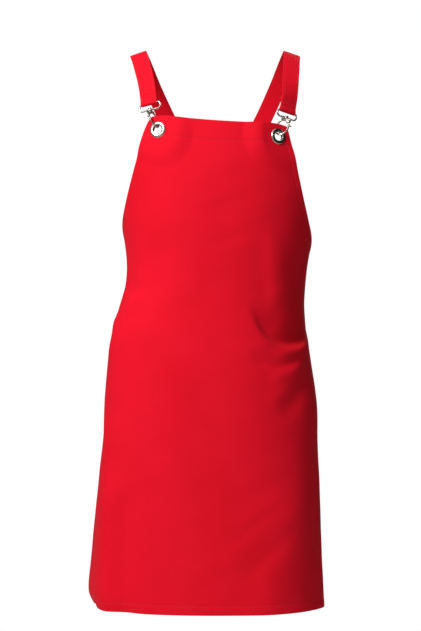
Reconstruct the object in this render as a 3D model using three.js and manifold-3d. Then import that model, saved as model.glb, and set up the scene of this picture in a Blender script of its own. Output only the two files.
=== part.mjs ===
// Cross-back apron: a bib panel wrapped round an open hollow, two straps that cross
// behind, and two swivel clasps hooked in eyelets. Millimetres, +Z up, the front faces -Y
// and +X is the worn left. The origin lies midway between the straps' crests.
import * as THREE from "three";
import * as BufferGeometryUtils from "three/addons/utils/BufferGeometryUtils.js";
import Module from "manifold-3d";

const wasm = await Module();
wasm.setup();

// Sizes of the cloth
const CLEARANCE = 0.3;
const CLOTH_WALL = 1.2;
const HEM_WALL = 2.0;
const HEM_STEP = 1.0;
const TOP_HEM = 33;
const SIDE_HEM = 12;
const BOTTOM_HEM = 16;
const PANEL_LENGTH = 778;
const PANEL_HALF_WIDTH = 350;
const CORNER_DOWN = 236;
const BIB_TOP_DROP = 120.5;
const BIB_SLOPE = 0.067;
const BIB_SLOPE_REACH = 350;
const BIB_SAG = 5;
const CORNER_DROOP = 5;
const TORSO_HALF_WIDTH = 180;
const TORSO_DEPTH = 120;
const TORSO_SQUARENESS = 2.2;
const FOLD_HEIGHT = 10;

// Sizes of the straps
const STRAP_WIDTH = 28;
const STRAP_WALL = 1.8;
const STRAP_TAIL = 24;
const STRAP_OVERLAP = 38;
const SHOULDER_HALF = 125;

// Sizes of the eyelets
const EYELET_HOLE = 7.25;
const EYELET_BARREL = 0.9;
const EYELET_FLANGE = 13;
const EYELET_DOME = 1.6;
const WASHER_RADIUS = 10.9;
const WASHER_WALL = 0.7;
const CURL_REACH = 1.7;
const CURL_WALL = 0.8;
const EYELET_FLAT = 27;
const EYELET_BLEND = 60;

// Sizes of the clasps
const WIRE_RADIUS = 1.5;
const NOSE_RADIUS = 1.2;
const RING_HALF_WIDTH = 10.6;
const RING_HEIGHT = 28.5;
const SHOULDER_HEIGHT = 3;
const CHEEK_HALF_DEPTH = 2.5;
const GATE_HALF_DEPTH = 0.9;
const HUB_RADIUS = 2.2;
const RIVET_RADIUS = 0.75;
const RIVET_HEAD = 1.45;
const POST_RADIUS = 1.4;
const POST_HEAD = 2.6;
const HEAD_HEIGHT = 1.4;
const BOSS_RADIUS = 3.3;
const BOSS_HEIGHT = 3.6;
const LOOP_WIRE = 1.4;
const LOOP_HALF_WIDTH = 17.8;
const LOOP_HALF_HEIGHT = 5.2;
const LOOP_WAVE = 0.8;

// The hollow that the panel wraps: shares of PANEL_LENGTH down, of TORSO_HALF_WIDTH to the
// worn right (image left) and left, and of TORSO_DEPTH ahead and behind
const TORSO = [
  // down, right side, left side, ahead, behind
  [0.0, 1.0, 1.033, 0.965, 0.9],
  [0.041, 0.972, 1.011, 1.0, 0.9],
  [0.103, 0.92, 0.97, 1.035, 0.88],
  [0.207, 0.85, 0.9, 1.03, 0.83],
  [0.279, 0.8, 0.842, 0.99, 0.79],
  [0.331, 0.806, 0.815, 0.965, 0.77],
  [0.372, 0.86, 0.808, 0.96, 0.79],
  [0.435, 0.936, 0.83, 0.975, 0.86],
  [0.497, 0.972, 0.872, 0.98, 0.92],
  [0.579, 1.0, 0.925, 0.975, 0.95],
  [0.683, 1.045, 0.962, 0.955, 0.95],
  [0.807, 1.095, 0.982, 0.935, 0.93],
  [0.911, 1.13, 0.998, 0.93, 0.92],
  [0.973, 1.145, 1.01, 0.935, 0.92],
  [1.0, 1.105, 1.015, 0.94, 0.925],
];

// Free side edges: shares of PANEL_LENGTH down and of PANEL_HALF_WIDTH along the cloth
const EDGES = [
  // down, right side, left side
  [0.0, 0.294, 0.338],
  [0.01, 0.311, 0.346],
  [0.031, 0.332, 0.358],
  [0.057, 0.352, 0.375],
  [0.083, 0.373, 0.391],
  [0.114, 0.404, 0.413],
  [0.145, 0.438, 0.439],
  [0.176, 0.48, 0.472],
  [0.202, 0.53, 0.51],
  [0.228, 0.605, 0.57],
  [0.259, 0.72, 0.68],
  [0.285, 0.86, 0.82],
];

// Ridges (+) and valleys (-) of the cloth: ends as shares of PANEL_HALF_WIDTH and
// PANEL_LENGTH, width as a share of PANEL_HALF_WIDTH, height as a share of FOLD_HEIGHT
const FOLDS = [
  // across 1, down 1, across 2, down 2, width, height
  [0.24, 0.372, 0.36, 0.44, 0.05, -0.5],
  [0.36, 0.44, 0.56, 0.383, 0.05, -0.6],
  [0.26, 0.419, 0.4, 0.471, 0.05, 0.45],
  [0.4, 0.471, 0.6, 0.424, 0.05, 0.45],
  [0.26, 0.481, 0.38, 0.512, 0.05, -0.35],
  [0.38, 0.512, 0.58, 0.481, 0.06, -0.35],
  [-0.6, 0.419, -0.36, 0.357, 0.04, 0.35],
  [-0.58, 0.388, -0.4, 0.336, 0.04, -0.3],
  [-0.6, 0.476, -0.3, 0.414, 0.06, 0.25],
  [0.1, 0.993, 0.32, 0.807, 0.08, 0.5],
  [0.22, 1.014, 0.42, 0.848, 0.08, -0.4],
  [0.42, 1.0, 0.5, 0.621, 0.08, 0.35],
  [-0.52, 1.0, -0.52, 0.724, 0.06, 0.6],
  [-0.42, 1.0, -0.43, 0.766, 0.06, -0.5],
  [0.0, 0.166, 0.06, 0.248, 0.1, -0.15],
  [0.86, 1.0, 0.84, 0.517, 0.09, 0.7],
  [-0.86, 1.0, -0.84, 0.517, 0.09, 0.7],
  [0.7, 1.0, 0.7, 0.621, 0.08, -0.6],
  [-0.7, 1.0, -0.7, 0.621, 0.08, -0.6],
];

// What differs from side to side: 1 is +X, the worn left. Places are shares of
// PANEL_HALF_WIDTH across, and angles are in degrees against the cloth round the eyelet
const SIDES = [
  {
    name: "left", side: 1, across: 0.289, down: 20.5, yaw: 31,
    lean: 30.5, pitch: -2, ring: 52, rise: 4.0, tilt: 17,
  },
  {
    name: "right", side: -1, across: 0.262, down: 22.9, yaw: 22,
    lean: 25.5, pitch: 1, ring: 77, rise: 5.0, tilt: 14,
  },
];
const EYELET_PITCH = 8;

// Run of a strap from its clasp up to the crest: shares of that run, then the way the
// cloth faces (out to its side, ahead, up)
const FRONT_RUN = [
  // x, y, z, out, ahead, up
  [0.22, 0.12, 0.3, 0.35, 0.85, 0.4],
  [0.48, 0.3, 0.56, 0.35, 0.75, 0.6],
  [0.74, 0.56, 0.8, 0.35, 0.5, 0.8],
  [1.0, 1.0, 1.0, 0.32, 0.0, 0.95],
];

// Run of a strap from the crest down to the far back corner: x as a share of the way
// across, y of TORSO_DEPTH, z of the drop, then the way it faces and how far it rides over
const BACK_RUN = [
  // x, y, z, out, behind, up, over
  [0.04, 0.32, 0.045, 0.38, 0.45, 0.85, 0],
  [0.12, 0.6, 0.15, 0.3, 0.8, 0.5, 0],
  [0.27, 0.83, 0.32, 0.18, 0.95, 0.2, 0],
  [0.47, 0.95, 0.5, 0.08, 1.0, 0.08, 0.3],
  [0.57, 0.965, 0.595, 0.03, 1.0, 0.0, 1],
  [0.67, 0.96, 0.69, -0.03, 1.0, -0.02, 1],
  [0.77, 0.925, 0.785, -0.12, 1.0, -0.04, 0.3],
  [0.89, 0.84, 0.88, -0.2, 1.0, -0.06, 0],
];

const CLOTH = { color: 0xd8102a, roughness: 0.85, metalness: 0 };
const NICKEL = { color: 0xc9c7c2, roughness: 0.25, metalness: 1 };
const UP = new THREE.Vector3(0, 0, 1);

// Small helpers
function radians(degrees) {
  return (degrees * Math.PI) / 180;
}

function ease(value) {
  const t = Math.min(1, Math.max(0, value));
  return t * t * (3 - 2 * t);
}

// Reads column `column` of a table at `at`, smoothly between its rows
function readTable(table, at, column) {
  const last = table.length - 1;
  if (at <= table[0][0]) return table[0][column];
  if (at >= table[last][0]) return table[last][column];
  let row = 0;
  while (table[row + 1][0] < at) row += 1;
  const slope = (i) => {
    const before = table[Math.max(0, i - 1)];
    const after = table[Math.min(last, i + 1)];
    return (after[column] - before[column]) / (after[0] - before[0]);
  };
  const [from, to] = [table[row], table[row + 1]];
  const span = to[0] - from[0];
  const t = (at - from[0]) / span;
  const h00 = 2 * t ** 3 - 3 * t ** 2 + 1;
  const h10 = t ** 3 - 2 * t ** 2 + t;
  const h01 = 3 * t ** 2 - 2 * t ** 3;
  const h11 = t ** 3 - t ** 2;
  const bend = h10 * slope(row) + h11 * slope(row + 1);
  return h00 * from[column] + h01 * to[column] + span * bend;
}

// Turns a geometry's faces outwards and merges its vertices
function closedSolid(positions, indices) {
  let volume = 0;
  const [a, b, c] = [new THREE.Vector3(), new THREE.Vector3(), new THREE.Vector3()];
  for (let i = 0; i < indices.length; i += 3) {
    a.fromArray(positions, indices[i] * 3);
    b.fromArray(positions, indices[i + 1] * 3);
    c.fromArray(positions, indices[i + 2] * 3);
    volume += a.dot(b.cross(c));
  }
  if (volume < 0) indices.reverse();
  const geometry = new THREE.BufferGeometry();
  geometry.setAttribute("position", new THREE.Float32BufferAttribute(positions, 3));
  geometry.setIndex(indices);
  return geometry;
}

// Joins rings of points, each with as many points, into a closed solid
function loft(rings, loops = false) {
  const sides = rings[0].length;
  const positions = rings.flat().flatMap((point) => point.toArray());
  const indices = [];
  const joined = loops ? rings.length : rings.length - 1;
  for (let r = 0; r < joined; r += 1) {
    for (let s = 0; s < sides; s += 1) {
      const a = r * sides + s;
      const b = r * sides + ((s + 1) % sides);
      const c = ((r + 1) % rings.length) * sides + s;
      const d = ((r + 1) % rings.length) * sides + ((s + 1) % sides);
      indices.push(a, b, d, a, d, c);
    }
  }
  if (!loops) {
    const end = (rings.length - 1) * sides;
    for (let s = 1; s < sides - 1; s += 1) {
      indices.push(0, s + 1, s);
      indices.push(end, end + s, end + s + 1);
    }
  }
  return closedSolid(positions, indices);
}

function toManifold(geometry) {
  const bare = new THREE.BufferGeometry();
  bare.setAttribute("position", geometry.getAttribute("position"));
  bare.setIndex(geometry.index);
  const merged = BufferGeometryUtils.mergeVertices(bare, 1e-4);
  const solid = new wasm.Mesh({
    numProp: 3,
    vertProperties: new Float32Array(merged.getAttribute("position").array),
    triVerts: new Uint32Array(merged.index.array),
  });
  return new wasm.Manifold(solid);
}

function toGeometry(manifold) {
  const solid = manifold.getMesh();
  const geometry = new THREE.BufferGeometry();
  geometry.setAttribute("position", new THREE.Float32BufferAttribute(solid.vertProperties, 3));
  geometry.setIndex([...solid.triVerts]);
  return geometry;
}

// Cloth of the panel
function sectionAt(down) {
  const share = down / PANEL_LENGTH;
  return {
    right: readTable(TORSO, share, 1) * TORSO_HALF_WIDTH,
    left: readTable(TORSO, share, 2) * TORSO_HALF_WIDTH,
    ahead: readTable(TORSO, share, 3) * TORSO_DEPTH,
    behind: readTable(TORSO, share, 4) * TORSO_DEPTH,
  };
}

function sectionPoint(section, angle) {
  const power = 2 / TORSO_SQUARENESS;
  const across = Math.sin(angle);
  const ahead = Math.cos(angle);
  const width = across < 0 ? section.right : section.left;
  const depth = ahead < 0 ? section.behind : section.ahead;
  return [
    Math.sign(across) * width * Math.abs(across) ** power,
    -Math.sign(ahead) * depth * Math.abs(ahead) ** power,
  ];
}

// Lengths along each section from its middle, kept so that each row is measured once
const MEASURE_STEPS = 240;
const measured = new Map();
function measureRow(down) {
  const key = down.toFixed(3);
  if (measured.has(key)) return measured.get(key);
  const section = sectionAt(down);
  const sides = [-1, 1].map((side) => {
    const lengths = [0];
    let [x, y] = sectionPoint(section, 0);
    for (let i = 1; i <= MEASURE_STEPS; i += 1) {
      const [nextX, nextY] = sectionPoint(section, (side * Math.PI * i) / MEASURE_STEPS);
      lengths.push(lengths[i - 1] + Math.hypot(nextX - x, nextY - y));
      [x, y] = [nextX, nextY];
    }
    return lengths;
  });
  const row = { section, sides };
  measured.set(key, row);
  return row;
}

function wrapPoint(across, down) {
  const { section, sides } = measureRow(down);
  const lengths = sides[across < 0 ? 0 : 1];
  const target = Math.abs(across);
  let step = 1;
  while (step < MEASURE_STEPS && lengths[step] < target) step += 1;
  const part = (target - lengths[step - 1]) / (lengths[step] - lengths[step - 1]);
  const angle = (Math.PI * (step - 1 + part)) / MEASURE_STEPS;
  const [x, y] = sectionPoint(section, across < 0 ? -angle : angle);
  const share = Math.abs(across) / edgeAt(down, across < 0 ? -1 : 1);
  const fade = 1 - ease(down / BIB_SLOPE_REACH);
  const shape = BIB_SAG * Math.min(1, share) ** 2 - CORNER_DROOP * Math.min(1, share) ** 10;
  const z = -BIB_TOP_DROP - down + (shape - BIB_SLOPE * x) * fade;
  return new THREE.Vector3(x, y, z);
}

function edgeAt(down, side) {
  if (down >= CORNER_DOWN) return PANEL_HALF_WIDTH;
  const rows = [...EDGES, [CORNER_DOWN / PANEL_LENGTH, 1, 1]];
  return readTable(rows, down / PANEL_LENGTH, side < 0 ? 1 : 2) * PANEL_HALF_WIDTH;
}

// Height of the folds at a place on the cloth
function foldAt(across, down) {
  let height = 0;
  for (const [a1, d1, a2, d2, width, share] of FOLDS) {
    const start = [a1 * PANEL_HALF_WIDTH, d1 * PANEL_LENGTH];
    const run = [a2 * PANEL_HALF_WIDTH - start[0], d2 * PANEL_LENGTH - start[1]];
    const length = Math.hypot(...run);
    const along = ((across - start[0]) * run[0] + (down - start[1]) * run[1]) / length;
    const away = ((across - start[0]) * run[1] - (down - start[1]) * run[0]) / length;
    const opening = ease(along / (0.3 * length) + (d1 >= 1 ? 1 : 0.5));
    const closing = ease((length - along) / (0.3 * length) + 0.5);
    const spread = width * PANEL_HALF_WIDTH;
    height += share * FOLD_HEIGHT * opening * closing * Math.exp(-((away / spread) ** 2));
  }
  return height;
}

function normalOf(surface, across, down) {
  const step = 1.5;
  const fromLeft = surface(across - step, down);
  const fromTop = surface(across, down - step);
  const along = surface(across + step, down).sub(fromLeft);
  const drop = surface(across, down + step).sub(fromTop);
  return drop.cross(along).normalize();
}

function foldedPoint(across, down) {
  const normal = normalOf(wrapPoint, across, down);
  return wrapPoint(across, down).addScaledVector(normal, foldAt(across, down));
}

// Flat frame of each eyelet: its middle on the outer face, the way it faces, and up along it
const eyeletFrames = SIDES.map(({ side, across, down, yaw }) => {
  const place = [side * across * PANEL_HALF_WIDTH, down];
  const level = Math.cos(radians(EYELET_PITCH));
  const facing = new THREE.Vector3(
    side * Math.sin(radians(yaw)) * level,
    -Math.cos(radians(yaw)) * level,
    Math.sin(radians(EYELET_PITCH)),
  );
  const up = UP.clone().addScaledVector(facing, -facing.z).normalize();
  const out = up.clone().cross(facing).multiplyScalar(side).normalize();
  return { place, middle: foldedPoint(...place), facing, up, out };
});

// Outer face of the panel, flattened round each eyelet
function panelPoint(across, down) {
  const point = foldedPoint(across, down);
  for (const { place, middle, facing } of eyeletFrames) {
    const away = Math.hypot(across - place[0], down - place[1]);
    const share = 1 - ease((away - EYELET_FLAT) / (EYELET_BLEND - EYELET_FLAT));
    const height = point.clone().sub(middle).dot(facing);
    point.addScaledVector(facing, -height * share);
  }
  return point;
}

function panelOffset(across, down, height) {
  return panelPoint(across, down).addScaledVector(normalOf(panelPoint, across, down), height);
}

// Row places down the panel: the end of each band and how many rows it takes
function rowPlaces() {
  const bands = [
    [TOP_HEM, 4],
    [TOP_HEM + HEM_STEP, 1],
    [0.72 * CORNER_DOWN, 6],
    [CORNER_DOWN, 8],
    [0.5 * PANEL_LENGTH, 6],
    [PANEL_LENGTH - BOTTOM_HEM - HEM_STEP, 9],
    [PANEL_LENGTH - BOTTOM_HEM, 1],
    [PANEL_LENGTH, 1],
  ];
  const rows = [0];
  for (const [end, count] of bands) {
    const start = rows[rows.length - 1];
    for (let i = 1; i <= count; i += 1) rows.push(start + ((end - start) * i) / count);
  }
  return rows;
}

const MIDDLE_COLUMNS = 24;
function columnPlaces(down) {
  const [right, left] = [-edgeAt(down, -1), edgeAt(down, 1)];
  const from = right + SIDE_HEM + HEM_STEP;
  const to = left - SIDE_HEM - HEM_STEP;
  const places = [right, right + SIDE_HEM];
  for (let i = 0; i <= MIDDLE_COLUMNS; i += 1) {
    places.push(from + ((to - from) * i) / MIDDLE_COLUMNS);
  }
  places.push(left - SIDE_HEM, left);
  return places;
}

function panelSolid() {
  const rows = rowPlaces();
  const columns = MIDDLE_COLUMNS + 5;
  const outer = [];
  const inner = [];
  for (const down of rows) {
    columnPlaces(down).forEach((across, column) => {
      const sideHem = column < 2 || column > columns - 3;
      const hem = sideHem || down <= TOP_HEM + 1e-6 || down >= PANEL_LENGTH - BOTTOM_HEM - 1e-6;
      outer.push(panelPoint(across, down));
      inner.push(panelOffset(across, down, -(hem ? HEM_WALL : CLOTH_WALL)));
    });
  }
  const count = outer.length;
  const points = [...outer, ...inner];
  const positions = points.flatMap((point) => point.toArray());
  const indices = [];
  const quad = (a, b, c, d) => {
    const straight = points[a].distanceTo(points[c]) <= points[b].distanceTo(points[d]);
    indices.push(...(straight ? [a, b, c, a, c, d] : [b, c, d, b, d, a]));
  };
  for (let r = 0; r < rows.length - 1; r += 1) {
    for (let c = 0; c < columns - 1; c += 1) {
      const a = r * columns + c;
      quad(a, a + columns, a + columns + 1, a + 1);
      quad(count + a, count + a + 1, count + a + columns + 1, count + a + columns);
    }
    const left = r * columns;
    const right = left + columns - 1;
    quad(left, count + left, count + left + columns, left + columns);
    quad(right, right + columns, count + right + columns, count + right);
  }
  const bottom = (rows.length - 1) * columns;
  for (let c = 0; c < columns - 1; c += 1) {
    quad(c, c + 1, count + c + 1, count + c);
    quad(bottom + c, count + bottom + c, count + bottom + c + 1, bottom + c + 1);
  }
  let panel = toManifold(closedSolid(positions, indices));
  for (const frame of eyeletFrames) {
    const radius = EYELET_HOLE + EYELET_BARREL + CLEARANCE;
    const reach = 3 * HEM_WALL;
    const hole = turned(frame, [[0, -reach], [radius, -reach], [radius, reach], [0, reach]]);
    panel = panel.subtract(toManifold(hole));
  }
  return toGeometry(panel);
}

// Turns a profile of (radius, height) pairs round a frame's facing axis
const TURN_SIDES = 20;
function turned(frame, profile, sides = TURN_SIDES) {
  const points = profile.map(([radius, height]) => new THREE.Vector2(radius, height));
  const closed = [...points, points[0].clone()];
  const lathe = new THREE.LatheGeometry(closed, sides);
  const basis = new THREE.Matrix4().makeBasis(
    frame.up.clone().cross(frame.facing).negate(),
    frame.facing,
    frame.up,
  );
  basis.setPosition(frame.middle);
  lathe.applyMatrix4(basis);
  const bare = new THREE.BufferGeometry();
  bare.setAttribute("position", lathe.getAttribute("position"));
  bare.setIndex(lathe.index);
  const merged = BufferGeometryUtils.mergeVertices(bare, 1e-4);
  const kept = dropSlivers(merged);
  return closedSolid([...merged.getAttribute("position").array], kept);
}

// Leaves out triangles that the axis has collapsed
function dropSlivers(geometry) {
  const index = geometry.index.array;
  const kept = [];
  for (let i = 0; i < index.length; i += 3) {
    const [a, b, c] = [index[i], index[i + 1], index[i + 2]];
    if (a !== b && b !== c && a !== c) kept.push(a, b, c);
  }
  return kept;
}

// Heights behind the cloth's outer face at an eyelet
const WASHER_FRONT = -(HEM_WALL + CLEARANCE);
const WASHER_BACK = WASHER_FRONT - WASHER_WALL;
const CURL_FRONT = WASHER_BACK - CLEARANCE;
const CURL_BACK = CURL_FRONT - CURL_WALL;

function eyeletSolid(frame) {
  const barrel = EYELET_HOLE + EYELET_BARREL;
  const curl = barrel + CURL_REACH;
  return turned(frame, [
    [EYELET_HOLE, CLEARANCE + 0.25 * EYELET_DOME],
    [EYELET_HOLE + 0.3 * EYELET_BARREL, CLEARANCE + 0.65 * EYELET_DOME],
    [barrel + 0.4, CLEARANCE + 0.95 * EYELET_DOME],
    [0.35 * barrel + 0.65 * EYELET_FLANGE, CLEARANCE + EYELET_DOME - 0.1],
    [0.1 * barrel + 0.9 * EYELET_FLANGE, CLEARANCE + 0.55 * EYELET_DOME],
    [EYELET_FLANGE, CLEARANCE + 0.15 * EYELET_DOME],
    [EYELET_FLANGE, CLEARANCE],
    [barrel, CLEARANCE],
    [barrel, CURL_FRONT],
    [curl, CURL_FRONT],
    [curl, CURL_FRONT - 0.4 * CURL_WALL],
    [barrel + 0.3 * CURL_REACH, CURL_BACK],
    [EYELET_HOLE + 0.3 * EYELET_BARREL, CURL_BACK + 0.1 * CURL_WALL],
    [EYELET_HOLE, CURL_FRONT],
  ]);
}

function washerSolid(frame) {
  const bore = EYELET_HOLE + EYELET_BARREL + CLEARANCE;
  return turned(frame, [
    [bore, WASHER_BACK],
    [bore, WASHER_FRONT],
    [WASHER_RADIUS, WASHER_FRONT],
    [WASHER_RADIUS, WASHER_BACK],
  ]);
}

// Frame of a clasp: from where its hook crosses the eyelet, up its swivel axis. The bow
// leans in the play of its boss by `tilt`, so it has an up and an across of its own
function claspFrame(eyelet, { side, lean, pitch, ring, rise, tilt }) {
  const inPlane = new THREE.Vector3()
    .addScaledVector(eyelet.up, Math.cos(radians(lean)))
    .addScaledVector(eyelet.out, Math.sin(radians(lean)));
  const origin = eyelet.middle.clone()
    .addScaledVector(inPlane, rise)
    .addScaledVector(eyelet.facing, CURL_BACK / 2 + EYELET_DOME / 2);
  const axis = inPlane.clone()
    .multiplyScalar(Math.cos(radians(pitch)))
    .addScaledVector(eyelet.facing, -Math.sin(radians(pitch)));
  const square = (vector) => vector.addScaledVector(axis, -vector.dot(axis)).normalize();
  const front = square(new THREE.Vector3()
    .addScaledVector(eyelet.out, Math.cos(radians(ring)))
    .addScaledVector(eyelet.facing, Math.sin(radians(ring))));
  const across = square(eyelet.out.clone());
  const ahead = across.clone().cross(axis).multiplyScalar(side).normalize();
  const bow = {
    middle: origin.clone().addScaledVector(axis, BAR_UP),
    up: axis.clone().applyAxisAngle(ahead, radians(side * tilt)),
    across: across.clone().applyAxisAngle(ahead, radians(side * tilt)),
    ahead,
  };
  return { origin, axis, front, bow };
}

// A place in a clasp's frame: towards its front, across that, and up its swivel axis
function claspPoint(clasp, front, depth, up) {
  return clasp.origin.clone()
    .addScaledVector(clasp.front, front)
    .addScaledVector(clasp.axis.clone().cross(clasp.front), depth)
    .addScaledVector(clasp.axis, up);
}

// A place on a bow: across it, ahead of it and up from its boss
function bowPoint(bow, across, ahead, up) {
  return bow.middle.clone()
    .addScaledVector(bow.across, across)
    .addScaledVector(bow.ahead, ahead)
    .addScaledVector(bow.up, up);
}

const PIVOT = [5.6, RING_HEIGHT - SHOULDER_HEIGHT];
const RING_SPLIT = 115;

// Centre line of the ring at an angle from its top, towards the front
function ringPlace(angle) {
  const half = RING_HEIGHT / 2;
  return [RING_HALF_WIDTH * Math.sin(radians(angle)), half + half * Math.cos(radians(angle))];
}

const splitPlace = ringPlace(RING_SPLIT);
const SPLIT_RADIUS = Math.hypot(splitPlace[0] - PIVOT[0], splitPlace[1] - PIVOT[1]);

// Tube along the ring between two angles; an end named in `cut` is trimmed to a circle
// round the gate's pivot, so that the gate swings clear of the nose
function ringTube(clasp, from, to, steps, radiusAt, cut) {
  const sides = 8;
  const rings = [];
  for (let i = 0; i <= steps; i += 1) {
    const angle = from + ((to - from) * i) / steps;
    const [front, up] = ringPlace(angle);
    const ahead = ringPlace(angle + 0.5);
    const length = Math.hypot(ahead[0] - front, ahead[1] - up);
    const tangent = [(ahead[0] - front) / length, (ahead[1] - up) / length];
    const radius = radiusAt(angle);
    const ring = [];
    for (let s = 0; s < sides; s += 1) {
      const turn = (2 * Math.PI * (s + 0.5)) / sides;
      const place = [front - tangent[1] * radius * Math.cos(turn), up + tangent[0] * radius * Math.cos(turn)];
      if (i === steps && cut) {
        const shift = shiftToCircle(place, tangent, cut);
        place[0] += tangent[0] * shift;
        place[1] += tangent[1] * shift;
      }
      ring.push(claspPoint(clasp, place[0], radius * Math.sin(turn), place[1]));
    }
    rings.push(ring);
  }
  return loft(rings);
}

// How far a place moves along a direction to reach a circle round the gate's pivot
function shiftToCircle(place, direction, radius) {
  const [x, y] = [place[0] - PIVOT[0], place[1] - PIVOT[1]];
  const b = x * direction[0] + y * direction[1];
  const c = x * x + y * y - radius * radius;
  const root = Math.sqrt(b * b - c);
  const [near, far] = [-b + root, -b - root];
  return Math.abs(near) < Math.abs(far) ? near : far;
}

// Plate of an outline in the ring's plane, from one depth to another
function plate(clasp, outline, from, to) {
  const ringAt = (depth) => outline.map(([front, up]) => claspPoint(clasp, front, depth, up));
  return loft([ringAt(from), ringAt(to)]);
}

function disc(centre, radius, sides) {
  const outline = [];
  for (let i = 0; i < sides; i += 1) {
    const turn = (2 * Math.PI * (i + 0.5)) / sides;
    outline.push([centre[0] + radius * Math.cos(turn), centre[1] + radius * Math.sin(turn)]);
  }
  return outline;
}

// Post with its peened head, turned round the swivel axis
function swivelFrame(clasp, up) {
  return {
    middle: claspPoint(clasp, 0, 0, up),
    facing: clasp.axis,
    up: clasp.front,
  };
}

const RING_TOP = RING_HEIGHT + WIRE_RADIUS * 0.7;
const BOSS_BOTTOM = RING_TOP + CLEARANCE;
const BOSS_TOP = BOSS_BOTTOM + BOSS_HEIGHT;
const HEAD_BOTTOM = BOSS_TOP + CLEARANCE;
const BAR_UP = BOSS_BOTTOM + 0.6 * BOSS_HEIGHT;

// Cutter of the hole for the gate's rivet
function rivetBore(clasp) {
  const outline = disc(PIVOT, RIVET_RADIUS + CLEARANCE, 10);
  return plate(clasp, outline, -2 * CHEEK_HALF_DEPTH, 2 * CHEEK_HALF_DEPTH);
}

function clawSolid(clasp) {
  const noseCut = SPLIT_RADIUS + CLEARANCE;
  const shank = ringTube(clasp, -10, -190, 14, () => WIRE_RADIUS);
  const nose = ringTube(clasp, -186, -(360 - RING_SPLIT), 7, (angle) => {
    return WIRE_RADIUS + (NOSE_RADIUS - WIRE_RADIUS) * ease((-angle - 186) / 50);
  }, noseCut);
  const top = RING_TOP;
  const shoulder = plate(clasp, [
    [-7.4, top],
    [-7.4, top - 1.4],
    [-5.2, top - 3.2],
    [2.0, top - 3.2],
    [PIVOT[0] - HUB_RADIUS - 0.3, PIVOT[1] - HUB_RADIUS - 0.4],
    [PIVOT[0] + HUB_RADIUS - 0.1, PIVOT[1] - HUB_RADIUS - 0.4],
    [PIVOT[0] + HUB_RADIUS + 1.0, PIVOT[1] - 0.4],
    [PIVOT[0] + HUB_RADIUS + 1.0, top - 1.0],
    [PIVOT[0] + HUB_RADIUS, top],
  ], -CHEEK_HALF_DEPTH, CHEEK_HALF_DEPTH);
  const slotHalf = GATE_HALF_DEPTH + CLEARANCE;
  const slot = plate(clasp, [
    [PIVOT[0] - HUB_RADIUS - 2 * CLEARANCE, PIVOT[1] + HUB_RADIUS + CLEARANCE],
    [PIVOT[0] - HUB_RADIUS - 2 * CLEARANCE, PIVOT[1] - 3 * HUB_RADIUS],
    [PIVOT[0] + 3 * HUB_RADIUS, PIVOT[1] - 3 * HUB_RADIUS],
    [PIVOT[0] + 3 * HUB_RADIUS, PIVOT[1] + HUB_RADIUS + CLEARANCE],
  ], -slotHalf, slotHalf);
  const bore = rivetBore(clasp);
  const post = turned(swivelFrame(clasp, 0), [
    [0, top - 1],
    [POST_RADIUS, top - 1],
    [POST_RADIUS, HEAD_BOTTOM],
    [POST_HEAD, HEAD_BOTTOM],
    [POST_HEAD, HEAD_BOTTOM + 0.4 * HEAD_HEIGHT],
    [0.65 * POST_HEAD, HEAD_BOTTOM + 0.9 * HEAD_HEIGHT],
    [0, HEAD_BOTTOM + HEAD_HEIGHT],
  ], 12);
  const claw = toManifold(shank)
    .add(toManifold(nose))
    .add(toManifold(shoulder))
    .subtract(toManifold(slot))
    .subtract(toManifold(bore))
    .add(toManifold(post));
  return toGeometry(claw);
}

const GATE_START = 62;
function gateSolid(clasp) {
  const arm = ringTube(clasp, GATE_START, RING_SPLIT - 1, 6, () => WIRE_RADIUS - 0.05, SPLIT_RADIUS);
  const [front, up] = ringPlace(GATE_START + 4);
  const [x, y] = [front - PIVOT[0], up - PIVOT[1]];
  const length = Math.hypot(x, y);
  const side = [(-y / length) * 0.9 * WIRE_RADIUS, (x / length) * 0.9 * WIRE_RADIUS];
  const link = plate(clasp, [
    [PIVOT[0] + side[0], PIVOT[1] + side[1]],
    [PIVOT[0] - side[0], PIVOT[1] - side[1]],
    [front - side[0], up - side[1]],
    [front + side[0], up + side[1]],
  ], -GATE_HALF_DEPTH, GATE_HALF_DEPTH);
  const hub = plate(clasp, disc(PIVOT, HUB_RADIUS, 12), -GATE_HALF_DEPTH, GATE_HALF_DEPTH);
  const bore = rivetBore(clasp);
  const gate = toManifold(arm)
    .add(toManifold(link))
    .add(toManifold(thumbTab(clasp)))
    .add(toManifold(hub))
    .subtract(toManifold(bore));
  return toGeometry(gate);
}

// Thumb tab that stands out from the gate's back
const TAB_REACH = 4.8;
const TAB_ANGLE = 72;
function thumbTab(clasp) {
  const [front, up] = ringPlace(TAB_ANGLE);
  const stations = [
    // share of the reach, half width, half depth
    [0.0, 1.1, 1.2],
    [0.45, 0.9, 1.3],
    [0.8, 1.0, 1.7],
    [1.0, 0.7, 1.5],
  ];
  const rings = stations.map(([share, half, depth]) => {
    const ring = [];
    for (let s = 0; s < 6; s += 1) {
      const turn = (2 * Math.PI * (s + 0.5)) / 6;
      const place = [front + share * TAB_REACH, up - 0.25 * share * TAB_REACH + half * Math.cos(turn)];
      ring.push(claspPoint(clasp, place[0], depth * Math.sin(turn), place[1]));
    }
    return ring;
  });
  return loft(rings);
}

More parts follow.
